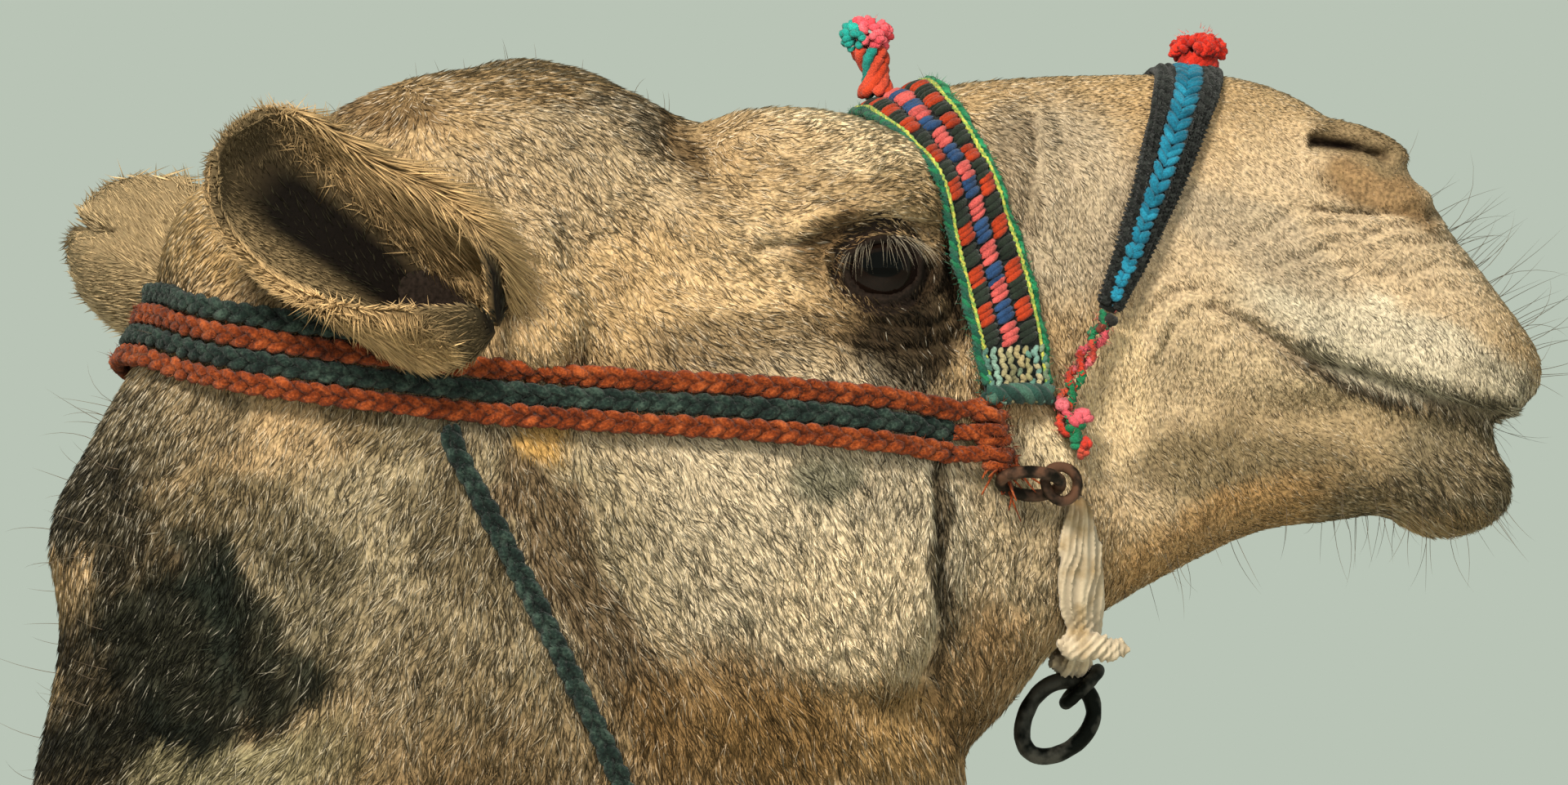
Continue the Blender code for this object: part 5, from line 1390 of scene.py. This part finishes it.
# ---------------------------------------------------------------- brow band
# A strap woven over the brow in thick dyed yarns, red and black in squares with pink and blue
# between them, and bound at both edges by a twisted green cord. Its ends are knitted over in
# thin pale green and buff yarn and finished in a roll.

BROW_HALF = [
    (1.1026, -.0668, 2.1930),
    (1.1018, -.0659, 2.1984), (1.1002, -.0646, 2.2092), (1.0984, -.0636, 2.2201), (1.0961, -.0625, 2.2308),
    (1.0935, -.0617, 2.2415), (1.0905, -.0612, 2.2521), (1.0875, -.0609, 2.2625), (1.0848, -.0612, 2.2732),
    (1.0814, -.0585, 2.2834), (1.0772, -.0526, 2.2911), (1.0726, -.0468, 2.2993), (1.0689, -.0381, 2.3053),
    (1.0661, -.0283, 2.3104), (1.0646, -.0175, 2.3140), (1.0635, .0005, 2.3159),
]
BROW_ROW, BROW_COLUMN = 0.0083, 0.0088  # the size of a square of the weave
BROW_EDGE = 0.0157  # from the band's middle to the cord along its edge

# Dyed wool, each yarn in its own colour, with worn dusty patches and a fibrous surface.
dyed = finish_of("dyed_wool", "#a03028", 0.92, Sheen_Weight=0.08, Sheen_Roughness=0.5,
                 Specular_IOR_Level=0.15)
fibres = noise(dyed, 1500.0, 4.0)
strength = ranged(dyed, summed(dyed, fibres, noise(dyed, 140.0, 3.0)), 0.72, 1.30, 0.52, 1.42)
feed_shader(dyed, Base_Color=mixed(dyed, 1.0, marking_of(dyed), strength, "MULTIPLY"),
            Normal=relief(dyed, fibres, 0.8, 0.0007))

# one small bead, from which every rounded bit of yarn is drawn
bpy.ops.mesh.primitive_uv_sphere_add(segments=7, ring_count=5, radius=1)
bead = bpy.context.object
bpy.ops.object.mode_set(mode="EDIT")
bpy.ops.mesh.quads_convert_to_tris()
bpy.ops.object.mode_set(mode="OBJECT")
BEAD = read_points(bead.data)[0]
BEAD_FACES = np.array([tuple(face.vertices) for face in bead.data.polygons])
bpy.data.objects.remove(bead, do_unlink=True)


def add_lump(parts, centre, along, out, radii, code):
    """A rounded bit of yarn at centre, long one way and rising another, in one colour."""
    along = np.asarray(along, float) / np.linalg.norm(along)
    out = np.asarray(out, float) - along * np.dot(out, along)
    out = out / max(np.linalg.norm(out), 1e-9)
    axes = np.stack([along, np.cross(out, along), out]) * np.asarray(radii)[:, None]
    add_part(parts, BEAD @ axes + centre, BEAD_FACES, code)


def add_strap(parts, line, across, away, halves, low, high, code):
    """A flat strap along the line, from low to high off the skin, in one colour."""
    shape = [(-1, low), (-0.5, low), (0.5, low), (1, low), (1, high * 0.6), (0.5, high), (-0.5, high),
             (-1, high * 0.6)]
    loops = np.stack([line + across * (halves * s)[:, None] + away * h for s, h in shape], axis=1)
    last = (len(line) - 1) * 8
    caps = [[0, i + 1, i] for i in range(1, 7)] + [[last, last + i, last + i + 1] for i in range(1, 7)]
    faces = np.concatenate([wall_faces(len(line), 8), caps])
    add_part(parts, loops.reshape(-1, 3), faces, code)


def add_twist(parts, line, across, away, thick, turns_a_metre, codes, phase=0.0):
    """A cord of strands twisted together along the line, each in its colour."""
    run = walked(line)
    for number, code in enumerate(codes):
        turn = 2 * math.pi * (run * turns_a_metre + number / len(codes)) + phase
        path = line + (across * np.cos(turn)[:, None] + away * np.sin(turn)[:, None]) * thick * 0.5
        add_tube(parts, path, thick * 0.62, 6, code)


def laid_flat(line):
    """The ways across and off a broad strap, evened out so that it lies without a twist."""
    reach = 13  # points to each side
    _, away = outwards(line)
    kernel = np.ones(2 * reach + 1) / (2 * reach + 1)
    evened = [np.convolve(np.pad(way, reach, "edge"), kernel, "valid") for way in away.T]
    away = unit(np.stack(evened, axis=1))
    ahead = unit(np.gradient(line, axis=0))
    across = unit(np.cross(ahead, away))
    return across, unit(np.cross(across, ahead))


line, run = even(mirrored(BROW_HALF), 0.0022)
across, away = laid_flat(line)
parts = []
add_strap(parts, line, across, away, np.full(len(line), 0.0152), -0.0010, 0.0012, "#171d1b")
END = 0.0215  # the knitted part at each end
length = run[-1]
rows = round((length - 2 * END) / BROW_ROW)
for row in range(rows):
    where = END + (row + 0.5) * (length - 2 * END) / rows
    i = int(np.searchsorted(run, where))
    for column in (-1, 0, 1):
        pair = ("#a84844", "#1e3656") if column == 0 else ("#1c231c", "#862b13")
        code = pair[row % 2]
        base = line[i] + across[i] * column * BROW_COLUMN * 1.02 + away[i] * 0.0016
        ahead = np.cross(away[i], across[i])
        for part in (-1, 0, 1):
            lean = across[i] * 0.95 + ahead * 0.40
            spot = base + ahead * part * BROW_ROW * 0.31 + spread_out.normal(0, 0.00025, 3)
            add_lump(parts, spot, lean, away[i], (0.0052, 0.0018, 0.0019), code)
keep = (run > 0.006) & (run < length - 0.006)
for edge in (-1, 1):
    border = line + across * edge * BROW_EDGE + away * 0.0010
    wavy = border + across * (0.0006 * np.sin(run * 310 + edge))[:, None]
    codes = ["#1a6440", "#247048", "#124c30"] if edge > 0 else ["#1a5a3c", "#22483a", "#164234"]
    add_twist(parts, wavy[keep], across[keep], away[keep], 0.0020, 130, codes)
    trim = line + across * edge * 0.0138 + away * 0.0022
    add_twist(parts, trim[keep], across[keep], away[keep], 0.0011, 210, ["#9a9a44", "#6f8a40"])
KNIT = ("#48695e", "#6f8a7c", "#7d7658", "#6a684c", "#867a58", "#75704f", "#5c7a70", "#35584c")
KNIT_FLECKS = ("#9a9170", "#5d6d58", "#48695e")
forward = unit(np.gradient(line, axis=0))
for end in (0, 1):
    near_end = run < END + 0.002 if end == 0 else run > length - END - 0.002
    knitted = np.flatnonzero(near_end)
    for column, yarn in enumerate(KNIT):
        for stitch in np.arange(0, len(knitted) - 1, 1.1):
            i = knitted[int(stitch)]
            code = yarn if spread_out.random() < 0.75 else KNIT_FLECKS[column % 3]
            lean = forward[i] + across[i] * (0.7 if int(stitch) % 2 else -0.7)
            spot = line[i] + across[i] * (column - 3.5) * 0.0040 + away[i] * 0.0022
            spot = spot + spread_out.normal(0, 0.0003, 3)
            add_lump(parts, spot, lean, away[i], (0.0022, 0.0012, 0.0013), code)
    at = 1 if end == 0 else -2
    roll = np.array([line[at] + across[at] * s + away[at] * (0.0018 + 0.0010 * math.cos(s * 220))
                     for s in np.linspace(-0.0155, 0.0155, 18)])
    add_twist(parts, roll, np.tile(forward[at], (18, 1)), np.tile(away[at], (18, 1)), 0.0040, 60,
              ["#25423a", "#385549", "#1f352f"])
add_fuzz(parts, line + across * BROW_EDGE, 0.0026, 1200, 0.0034, "#23704a")
add_fuzz(parts, line - across * BROW_EDGE, 0.0026, 1200, 0.0034, "#205640")
build_yarn(parts, "woven_brow_band", dyed, "check_wool", "brow_band")

# ---------------------------------------------------------------- noseband
# A strap of black wool, broad over the nose and narrow at its ends, with a bright blue plait
# down its middle. It carries a red tuft of yarn on top.

NOSE_HALF = [
    (1.1398, -.0537, 2.2297), (1.1442, -.0539, 2.2400), (1.1487, -.0537, 2.2504), (1.1531, -.0524, 2.2609),
    (1.1574, -.0506, 2.2714), (1.1616, -.0483, 2.2818), (1.1657, -.0451, 2.2921), (1.1696, -.0402, 2.3019),
    (1.1733, -.0342, 2.3112), (1.1765, -.0267, 2.3187), (1.1788, -.0163, 2.3237), (1.1803, .0005, 2.3264),
]
line, run = even(mirrored(NOSE_HALF), 0.0020)
across, away = laid_flat(line)
from_middle = np.abs(run / run[-1] * 2 - 1)
halves = 0.0119 - 0.0084 * from_middle**1.5  # half the strap's width
parts = []
add_strap(parts, line, across, away, halves * 0.97, -0.0012, 0.0024, "#121412")
for edge in (-1, -0.80, -0.60, 0.60, 0.80, 1):
    path = line + across * (halves * edge)[:, None] + away * (0.0016 if abs(edge) == 1 else 0.0026)
    add_twist(parts, path[1:-1], across[1:-1], away[1:-1], 0.0022, 175, ["#191c1a", "#101211", "#202321"],
              edge * 5)
where = 0.004
while where < run[-1] - 0.004:
    i = int(np.searchsorted(run, where))
    ahead = np.cross(away[i], across[i])
    half = halves[i] * 0.40
    for side in (-1, 1):
        lean = across[i] * side * 0.75 + ahead * 0.85
        spot = line[i] + across[i] * side * half * 0.52 + away[i] * 0.0034
        code = ("#165c72", "#125166", "#1c677e")[int(spread_out.integers(3))]
        add_lump(parts, spot + spread_out.normal(0, 0.0002, 3), lean, away[i],
                 (half * 0.95 + 0.0010, 0.0017, 0.0019), code)
    where += 0.0031
add_fuzz(parts, line + across * halves[:, None], 0.0022, 500, 0.0026, "#1d201e")
add_fuzz(parts, line - across * halves[:, None], 0.0022, 500, 0.0026, "#1d201e")
add_fuzz(parts, line + away * 0.0036, 0.0018, 260, 0.0024, "#22647a")
build_yarn(parts, "woven_noseband", dyed, "black_wool", "nose_band")

# ---------------------------------------------------------------- cords and knots
# From each end of the noseband a doubled cord of pink, red and green yarn runs down beside the
# brow band and is knotted off above the iron ring.

CORD = [(1.1398, -.0575, 2.2275), (1.1358, -.0580, 2.2200), (1.1304, -.0585, 2.2110),
        (1.1250, -.0590, 2.2000), (1.1218, -.0600, 2.1900), (1.1228, -.0605, 2.1800)]

for side_name, side in SIDES:
    parts = []
    path, run = even(CORD, 0.0010)
    across, away = outwards(path)
    for strand, colours in enumerate((
        ["#175739", "#a8434c", "#a8434c", "#9c2f20", "#18603c", "#9c3c24", "#a8434c", "#18603c"],
        ["#23221f", "#18603c", "#a03a2e", "#b0565c", "#9c2f20", "#18603c", "#9c3c24", "#9c2f20"],
    )):
        turn = 2 * math.pi * (run * 52 + strand / 2)
        sway = path + (across * np.cos(turn)[:, None] + away * np.sin(turn)[:, None] * 0.6) * 0.0024
        cuts = np.linspace(0, len(sway) - 1, len(colours) + 1).astype(int)
        for k, code in enumerate(colours):
            part = slice(max(cuts[k] - 1, 0), cuts[k + 1] + 1)
            add_twist(parts, sway[part], across[part], away[part], 0.0021, 260, [code, code],
                      run[cuts[k]] * 1600)
    for spot, radii, code in (
        ((1.1202, -.0628, 2.1915), (.0034, .0026, .0028), "#b0565e"),
        ((1.1288, -.0612, 2.1885), (.0052, .0030, .0030), "#ae4e56"),
        ((1.1265, -.0622, 2.1862), (.0042, .0026, .0028), "#aa454e"),
        ((1.1258, -.0622, 2.1825), (.0046, .0028, .0034), "#18603c"),
        ((1.1264, -.0620, 2.1780), (.0036, .0026, .0040), "#1c6848"),
        ((1.1290, -.0618, 2.1768), (.0030, .0024, .0044), "#9c2c20"),
        ((1.1285, -.0612, 2.1738), (.0026, .0022, .0038), "#a24030"),
        ((1.1402, -.0580, 2.2262), (.0030, .0026, .0046), "#23221f"),
        ((1.1378, -.0585, 2.2228), (.0028, .0024, .0040), "#5a2a20"),
    ):
        for _ in range(5):
            way = spread_out.normal(0, 1, 3) * [1, 0.3, 1]
            add_lump(parts, np.array(spot) + spread_out.normal(0, 0.0009, 3), way, (0, -1, 0),
                     [r * 0.72 for r in radii], code)
    add_fuzz(parts, path, 0.0042, 160, 0.0034, "#b05a50")
    parts = flipped(parts) if side > 0 else parts
    build_yarn(parts, f"knotted_cord_{side_name}", dyed, "pink_wool", f"cord_{side_name}")

# ---------------------------------------------------------------- yarn tufts
# A knotted stalk of red yarn with a head of cut pink and green loops stands on the brow band,
# and a short red pompom on the noseband.


def way_above(lowest):
    """A direction by chance that points no lower than lowest."""
    height_share = spread_out.uniform(lowest, 1)
    turn = spread_out.uniform(0, 2 * math.pi)
    level = math.sqrt(1 - height_share**2)
    return np.array([math.cos(turn) * level, math.sin(turn) * level, height_share])


low, high = (np.array(corner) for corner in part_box("tassel_brow"))
parts = []
foot = np.array([high[0] - 0.0072, HEAD.y, low[2] + 0.0026])
top = np.array([low[0] + 0.0122, HEAD.y, high[2] - 0.0095])
for strand in range(7):
    turn = strand * 0.898
    share = np.linspace(0, 1, 14)
    swell = 0.0036 * (1 + 0.30 * np.cos(share * 7)) + 0.0008
    path = foot + (top - foot) * share[:, None]
    path[:, 0] += 0.0015 * np.sin(share * 3.1) + swell * np.cos(turn + share * 3.2)
    path[:, 1] += swell * np.sin(turn + share * 3.2)
    code = "#196e64" if strand == 2 else ("#94301a", "#a03a26")[strand % 2]
    add_tube(parts, path, 0.0021 + 0.0002 * np.sin(share * 40 + strand), 7, code)
for number in range(95):
    out = way_above(-0.75)
    spot = top + np.array([-0.0005, 0, 0.0048]) + out * np.array([0.0088, 0.0080, 0.0058])
    teal_side = out[0] < -0.30 and out[2] < 0.75
    code = ("#1a786e", "#208478")[number % 2] if teal_side else ("#c04650", "#b83a42", "#c8545c")[number % 3]
    add_lump(parts, spot, out + spread_out.normal(0, 0.5, 3), out, (0.0027, 0.0017, 0.0018), code)
add_fuzz(parts, np.array([top + [0, 0, 0.004]]), 0.0085, 110, 0.0030, "#e0626a")
build_yarn(parts, "brow_tuft", dyed, "pink_wool", "tassel_brow")

low, high = (np.array(corner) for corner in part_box("tassel_nose"))
parts = []
foot = np.array([(low[0] + high[0]) / 2 - 0.0026, HEAD.y, low[2] - 0.0030])
for strand in range(14):
    turn = strand * 2 * math.pi / 14
    share = np.linspace(0, 1, 8)
    path = foot + np.stack([np.cos(turn + share) * (0.0068 - 0.0010 * share),
                            np.sin(turn + share) * (0.0068 - 0.0010 * share), share * 0.0060], axis=1)
    add_tube(parts, path, 0.0019, 6, ("#9c2418", "#8c1e14")[strand % 2])
for number in range(120):
    out = way_above(-0.45)
    spot = foot + np.array([0, 0, 0.0078]) + out * np.array([0.0098, 0.0096, 0.0044])
    code = "#2a9a7c" if number % 40 == 7 and out[2] > 0.5 else ("#a82418", "#b42c1e", "#961c12")[number % 3]
    add_lump(parts, spot, out + spread_out.normal(0, 0.6, 3), out, (0.0029, 0.0016, 0.0016), code)
add_fuzz(parts, np.array([foot + [0, 0, 0.008]]), 0.0100, 90, 0.0026, "#d03a2a")
build_yarn(parts, "nose_tuft", dyed, "red_wool", "tassel_nose")

# ---------------------------------------------------------------- iron rings
# Hand-forged rings of round iron, brown with rust: one at each cheek with a hook, and a swivel with a large
# lead ring under the chin.

# Forged iron: mostly metal and dull, with scale on it and brown patches of rust that shine less.
iron = finish_of("forged_iron", "#3d2f27", 0.62, Metallic=0.85)
scale = noise(iron, 420.0, 6.0)
rust = ranged(iron, noise(iron, 110.0, 3.0), 0.42, 0.58)
feed_shader(
    iron,
    Base_Color=mixed(iron, rust, paint("#2a2521"), paint("#4f3526")),
    Metallic=ranged(iron, rust, 0.0, 1.0, 0.95, 0.25),
    Roughness=ranged(iron, scale, 0.0, 1.0, 0.40, 0.80),
    Normal=relief(iron, scale, 0.6, 0.0006),
)


def forge_ring(name, node, normal, ring, rod, finish, long=1.0, wide=1.0, tilt=0.0, lift=0.0):
    """A ring in place of its node, drawn long and wide and uneven as if beaten by hand.

    normal is the way its plane faces, tilt turns it in that plane by degrees, and lift raises it
    from the middle of the node.
    """
    low, high = (Vector(corner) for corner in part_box(node))
    bpy.ops.object.select_all(action="DESELECT")
    bpy.ops.mesh.primitive_torus_add(major_radius=ring, minor_radius=rod, major_segments=56,
                                     minor_segments=16)
    made = bpy.context.object
    made.name = name
    stand = Vector(normal).to_track_quat("Z", "X").to_matrix() @ Matrix.Rotation(math.radians(tilt), 3, "Z")
    for vert in made.data.vertices:
        angle = math.atan2(vert.co.y, vert.co.x)
        centre = Vector((math.cos(angle), math.sin(angle), 0)) * ring
        beaten = min(1.0, 1 + 0.05 * math.sin(angle * 5 + ring * 900) + 0.04 * math.sin(angle * 11))
        drawn = Vector((centre.x * long, centre.y * wide * (1 + 0.12 * math.cos(angle)), 0))
        middle = (low + high) / 2 + Vector((-0.4, 0, 1)) * lift
        vert.co = middle + stand @ (drawn + (vert.co - centre) * beaten)
    bpy.ops.object.shade_smooth()
    made.data.materials.append(finish)
    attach(made, "root")
    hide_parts(node)


# the iron under the chin is greased and handled, darker and less brown
dark_iron = iron.copy()
dark_iron.name = "dark_iron"
darker = next(node for node in dark_iron.node_tree.nodes if node.bl_idname == "ShaderNodeMix")
darker.inputs[6].default_value, darker.inputs[7].default_value = paint("#191b19"), paint("#2c2b26")
for side_name, side in SIDES:
    forge_ring(f"iron_ring_{side_name}", f"ring_{side_name}", (0.10, side * -0.35, 1), 0.0115, 0.0025, iron)
    forge_ring(f"iron_hook_{side_name}", f"hook_{side_name}", (0.25, side, 0.15), 0.0068, 0.0021, iron)
forge_ring("iron_swivel", "swivel", (0.7, 0.1, -0.7), 0.0062, 0.0026, dark_iron, 1.5, 0.9, lift=0.0045)
forge_ring("iron_lead_ring", "lead_ring", (0.06, -1, 0.05), 0.0165, 0.0034, dark_iron, 1.02, 0.74, -42,
           0.0050)

# ---------------------------------------------------------------- chin wrap
# A strip of unbleached cotton cloth, twisted and tied round the strap under the jaw. It is
# pinched in at each hook, swells between them, and its knotted end sticks out below.

WRAP_HALF = [  # x, y, z on its middle line, and half its width there
    (1.1262, -.0600, 2.1560, .0055), (1.1272, -.0592, 2.1490, .0090), (1.1279, -.0570, 2.1400, .0116),
    (1.1292, -.0532, 2.1294, .0128), (1.1306, -.0478, 2.1188, .0126), (1.1336, -.0402, 2.1100, .0110),
    (1.1367, -.0296, 2.1040, .0088), (1.1359, -.0181, 2.1012, .0088), (1.1367, .0005, 2.1000, .0090),
]
# Undyed cotton cloth: matt and pale, yellowed by grime in patches, with painted shade in its folds.
cotton = finish_of("unbleached_cotton", "#b3a88c", 0.85, Sheen_Weight=0.15, Specular_IOR_Level=0.2)
soiled = ranged(cotton, noise(cotton, 90.0, 4.0), 0.48, 0.72)
cloth_tone = mixed(cotton, soiled, paint("#ae9f86"), paint("#8b7653"))
feed_shader(cotton, Base_Color=mixed(cotton, 1.0, cloth_tone, marking_of(cotton), "MULTIPLY"),
            Normal=relief(cotton, noise(cotton, 1300.0, 2.0), 0.35, 0.0003))

line = smooth_through([row[:3] for row in WRAP_HALF], 6)
halves = smooth_through(WRAP_HALF, 6)[:, 3]
line = np.concatenate([line, (line[-2::-1] * [1, -1, 1]) + [0, 2 * HEAD.y, 0]])
halves = np.concatenate([halves, halves[-2::-1]])
across, away = outwards(line)
bm = bmesh.new()
loops = []
for point, side_way, out, half in zip(line, across, away, halves):
    turns = np.linspace(0, 2 * math.pi, 20, endpoint=False)
    thick = 0.0036 + 0.0006 * (half > 0.007)
    loops.append([
        bm.verts.new(point + side_way * (half * 0.92) * math.cos(turn) + out * thick * math.sin(turn))
        for turn in turns
    ])
close_loops(bm, loops)
for centre, radii, tilt in (
    ((1.1330, -.0455, 2.0985), (.0105, .0060, .0052), -18),
    ((1.1405, -.0440, 2.0975), (.0062, .0048, .0050), 25),
    ((1.1468, -.0430, 2.0985), (.0050, .0022, .0042), 60),
    ((1.1262, -.0455, 2.0985), (.0060, .0050, .0045), 20),
    ((1.1345, .0005, 2.0950), (.0085, .0120, .0062), 0),
):
    form = Matrix.LocRotScale(Vector(centre), Euler((0, math.radians(tilt), 0)), Vector(radii))
    bmesh.ops.create_uvsphere(bm, u_segments=20, v_segments=14, radius=1, matrix=form)
wrap = make_object("chin_wrap_cloth", mesh_from(bm, "chin_wrap_cloth"))
apply_modifier(wrap, "REMESH", mode="VOXEL", voxel_size=0.0017)
# the cloth swells a little between its ties, as it does when it is filled out by the strap
before, _ = read_points(wrap.data)
cloth = wrap.modifiers.new("cloth", "CLOTH")
cloth.settings.use_pressure = True
cloth.settings.uniform_pressure_force = 4.0
cloth.settings.effector_weights.gravity = 0
cloth.point_cache.frame_end = 20
for step in range(1, 21):
    bpy.context.scene.frame_set(step)
bpy.ops.object.modifier_apply(modifier=cloth.name)
bpy.context.scene.frame_set(1)
after, _ = read_points(wrap.data)
moved = after - before
far = np.linalg.norm(moved, axis=1, keepdims=True)
after = before + moved * np.minimum(1, 0.0016 / np.maximum(far, 1e-9))
wrap.data.vertices.foreach_set("co", after.ravel())
apply_modifier(wrap, "SMOOTH", factor=0.5, iterations=4)
apply_modifier(wrap, "SUBSURF", levels=1)
points, normals = read_points(wrap.data)
nearest = np.argmin(np.linalg.norm(points[:, None, ::2] - line[None, :, ::2], axis=2)
                    + 9 * (np.sign(points[:, None, 1]) != np.sign(line[None, :, 1]))
                    * (np.abs(line[None, :, 1]) > 0.02), axis=1)
gap = points - line[nearest]
run = walked(line)
from_end = np.minimum(run[nearest], run[-1] - run[nearest])
beside = gap[:, 0] / halves[nearest]
sway = (cloud(points, 0.010, 21) - 0.5) * 2.6
fold = np.sin(beside * 8.5 + from_end * 150 + sway) + 0.7 * np.sin(beside * 17 + from_end * 230 + sway * 2)
fold = 1 - 2 * np.abs(np.sin(fold * 1.1)) ** 0.7
knot = np.exp(-((np.linalg.norm(points - [1.1345, -.0455, 2.0985], axis=1) / 0.011) ** 2))
fold = fold * (1 - knot) + np.sin((points[:, 0] - points[:, 2]) * 1500 + sway) * knot
points += normals * (fold * 0.00080)[:, None]
wrap.data.vertices.foreach_set("co", points.ravel())
pinch = np.clip(1 - from_end / 0.010, 0, 1)
# painted shade in the hollows of the folds and painted light on their ridges
fold_shade_tone = np.clip(0.84 + 0.24 * fold, 0.40, 1.1)[:, None]
tint_points(wrap.data, fold_shade_tone * (1 - pinch[:, None] * [0.45, 0.55, 0.68]))
wrap.data.update()
apply_modifier(wrap, "TRIANGULATE")
bpy.ops.object.shade_smooth()
wrap.data.materials.append(cotton)
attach(wrap, "root")
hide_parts("chin_wrap")

# ---------------------------------------------------------------- nails and chest pad
# Two short blunt nails of dark horn stand at the front of each foot. The pad under the chest is
# a thick cracked callus of bare grey-brown skin, grown in one with the hide round it.


def worn_copy(name, node, grain, rounds):
    """A copy of the node's solid with its edges worn round."""
    made = make_object(name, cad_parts[node].data.copy())
    apply_modifier(made, "REMESH", mode="VOXEL", voxel_size=grain)
    apply_modifier(made, "SMOOTH", factor=0.5, iterations=rounds)
    apply_modifier(made, "TRIANGULATE")
    bpy.ops.object.shade_smooth()
    made.data.materials.clear()
    return made


# Dark horn: a little polished, with level growth rings and brown streaks.
horn = finish_of("dark_horn", "#3a3027", 0.45, Specular_IOR_Level=0.4)
place = add_node(horn, "TexCoord")
growth = add_node(horn, "TexWave", {"Vector": place.outputs["Object"], "Scale": 90.0, "Distortion": 2.5,
                                    "Detail": 2.0}, bands_direction="Z")
feed_shader(horn, Base_Color=mixed(horn, noise(horn, 160.0, 4.0), paint("#2c241d"), paint("#5a4c3c")),
            Normal=relief(horn, growth.outputs["Fac"], 0.35, 0.0008))
for node in [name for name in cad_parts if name.startswith("nail_")]:
    nail = worn_copy(f"{node}_horn", node, 0.0022, 6)
    nail.data.materials.append(horn)
    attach(nail, "root")
    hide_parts(node)

# Callus: dry and dull like old leather, cracked into small plates.
callus = finish_of("callus", "#5d4e40", 0.85, Specular_IOR_Level=0.25)
place = add_node(callus, "TexCoord")
cracks = add_node(callus, "TexVoronoi", {"Vector": place.outputs["Object"], "Scale": 75.0},
                  feature="DISTANCE_TO_EDGE")
depth = ranged(callus, cracks.outputs["Distance"], 0.0, 0.12)
feed_shader(callus, Base_Color=mixed(callus, noise(callus, 45.0, 5.0), paint("#4a3d32"), paint("#7c6c58")),
            Normal=relief(callus, depth, 0.6, 0.0015))
pad = worn_copy("chest_callus", "chest_pad", 0.007, 8)
points, normals = read_points(pad.data)
points += normals * ((cloud(points, 0.022, 9) - 0.5) * 0.004)[:, None]
pad.data.vertices.foreach_set("co", points.ravel())
pad.data.materials.append(callus)
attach(pad, "root")
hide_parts("chest_pad")
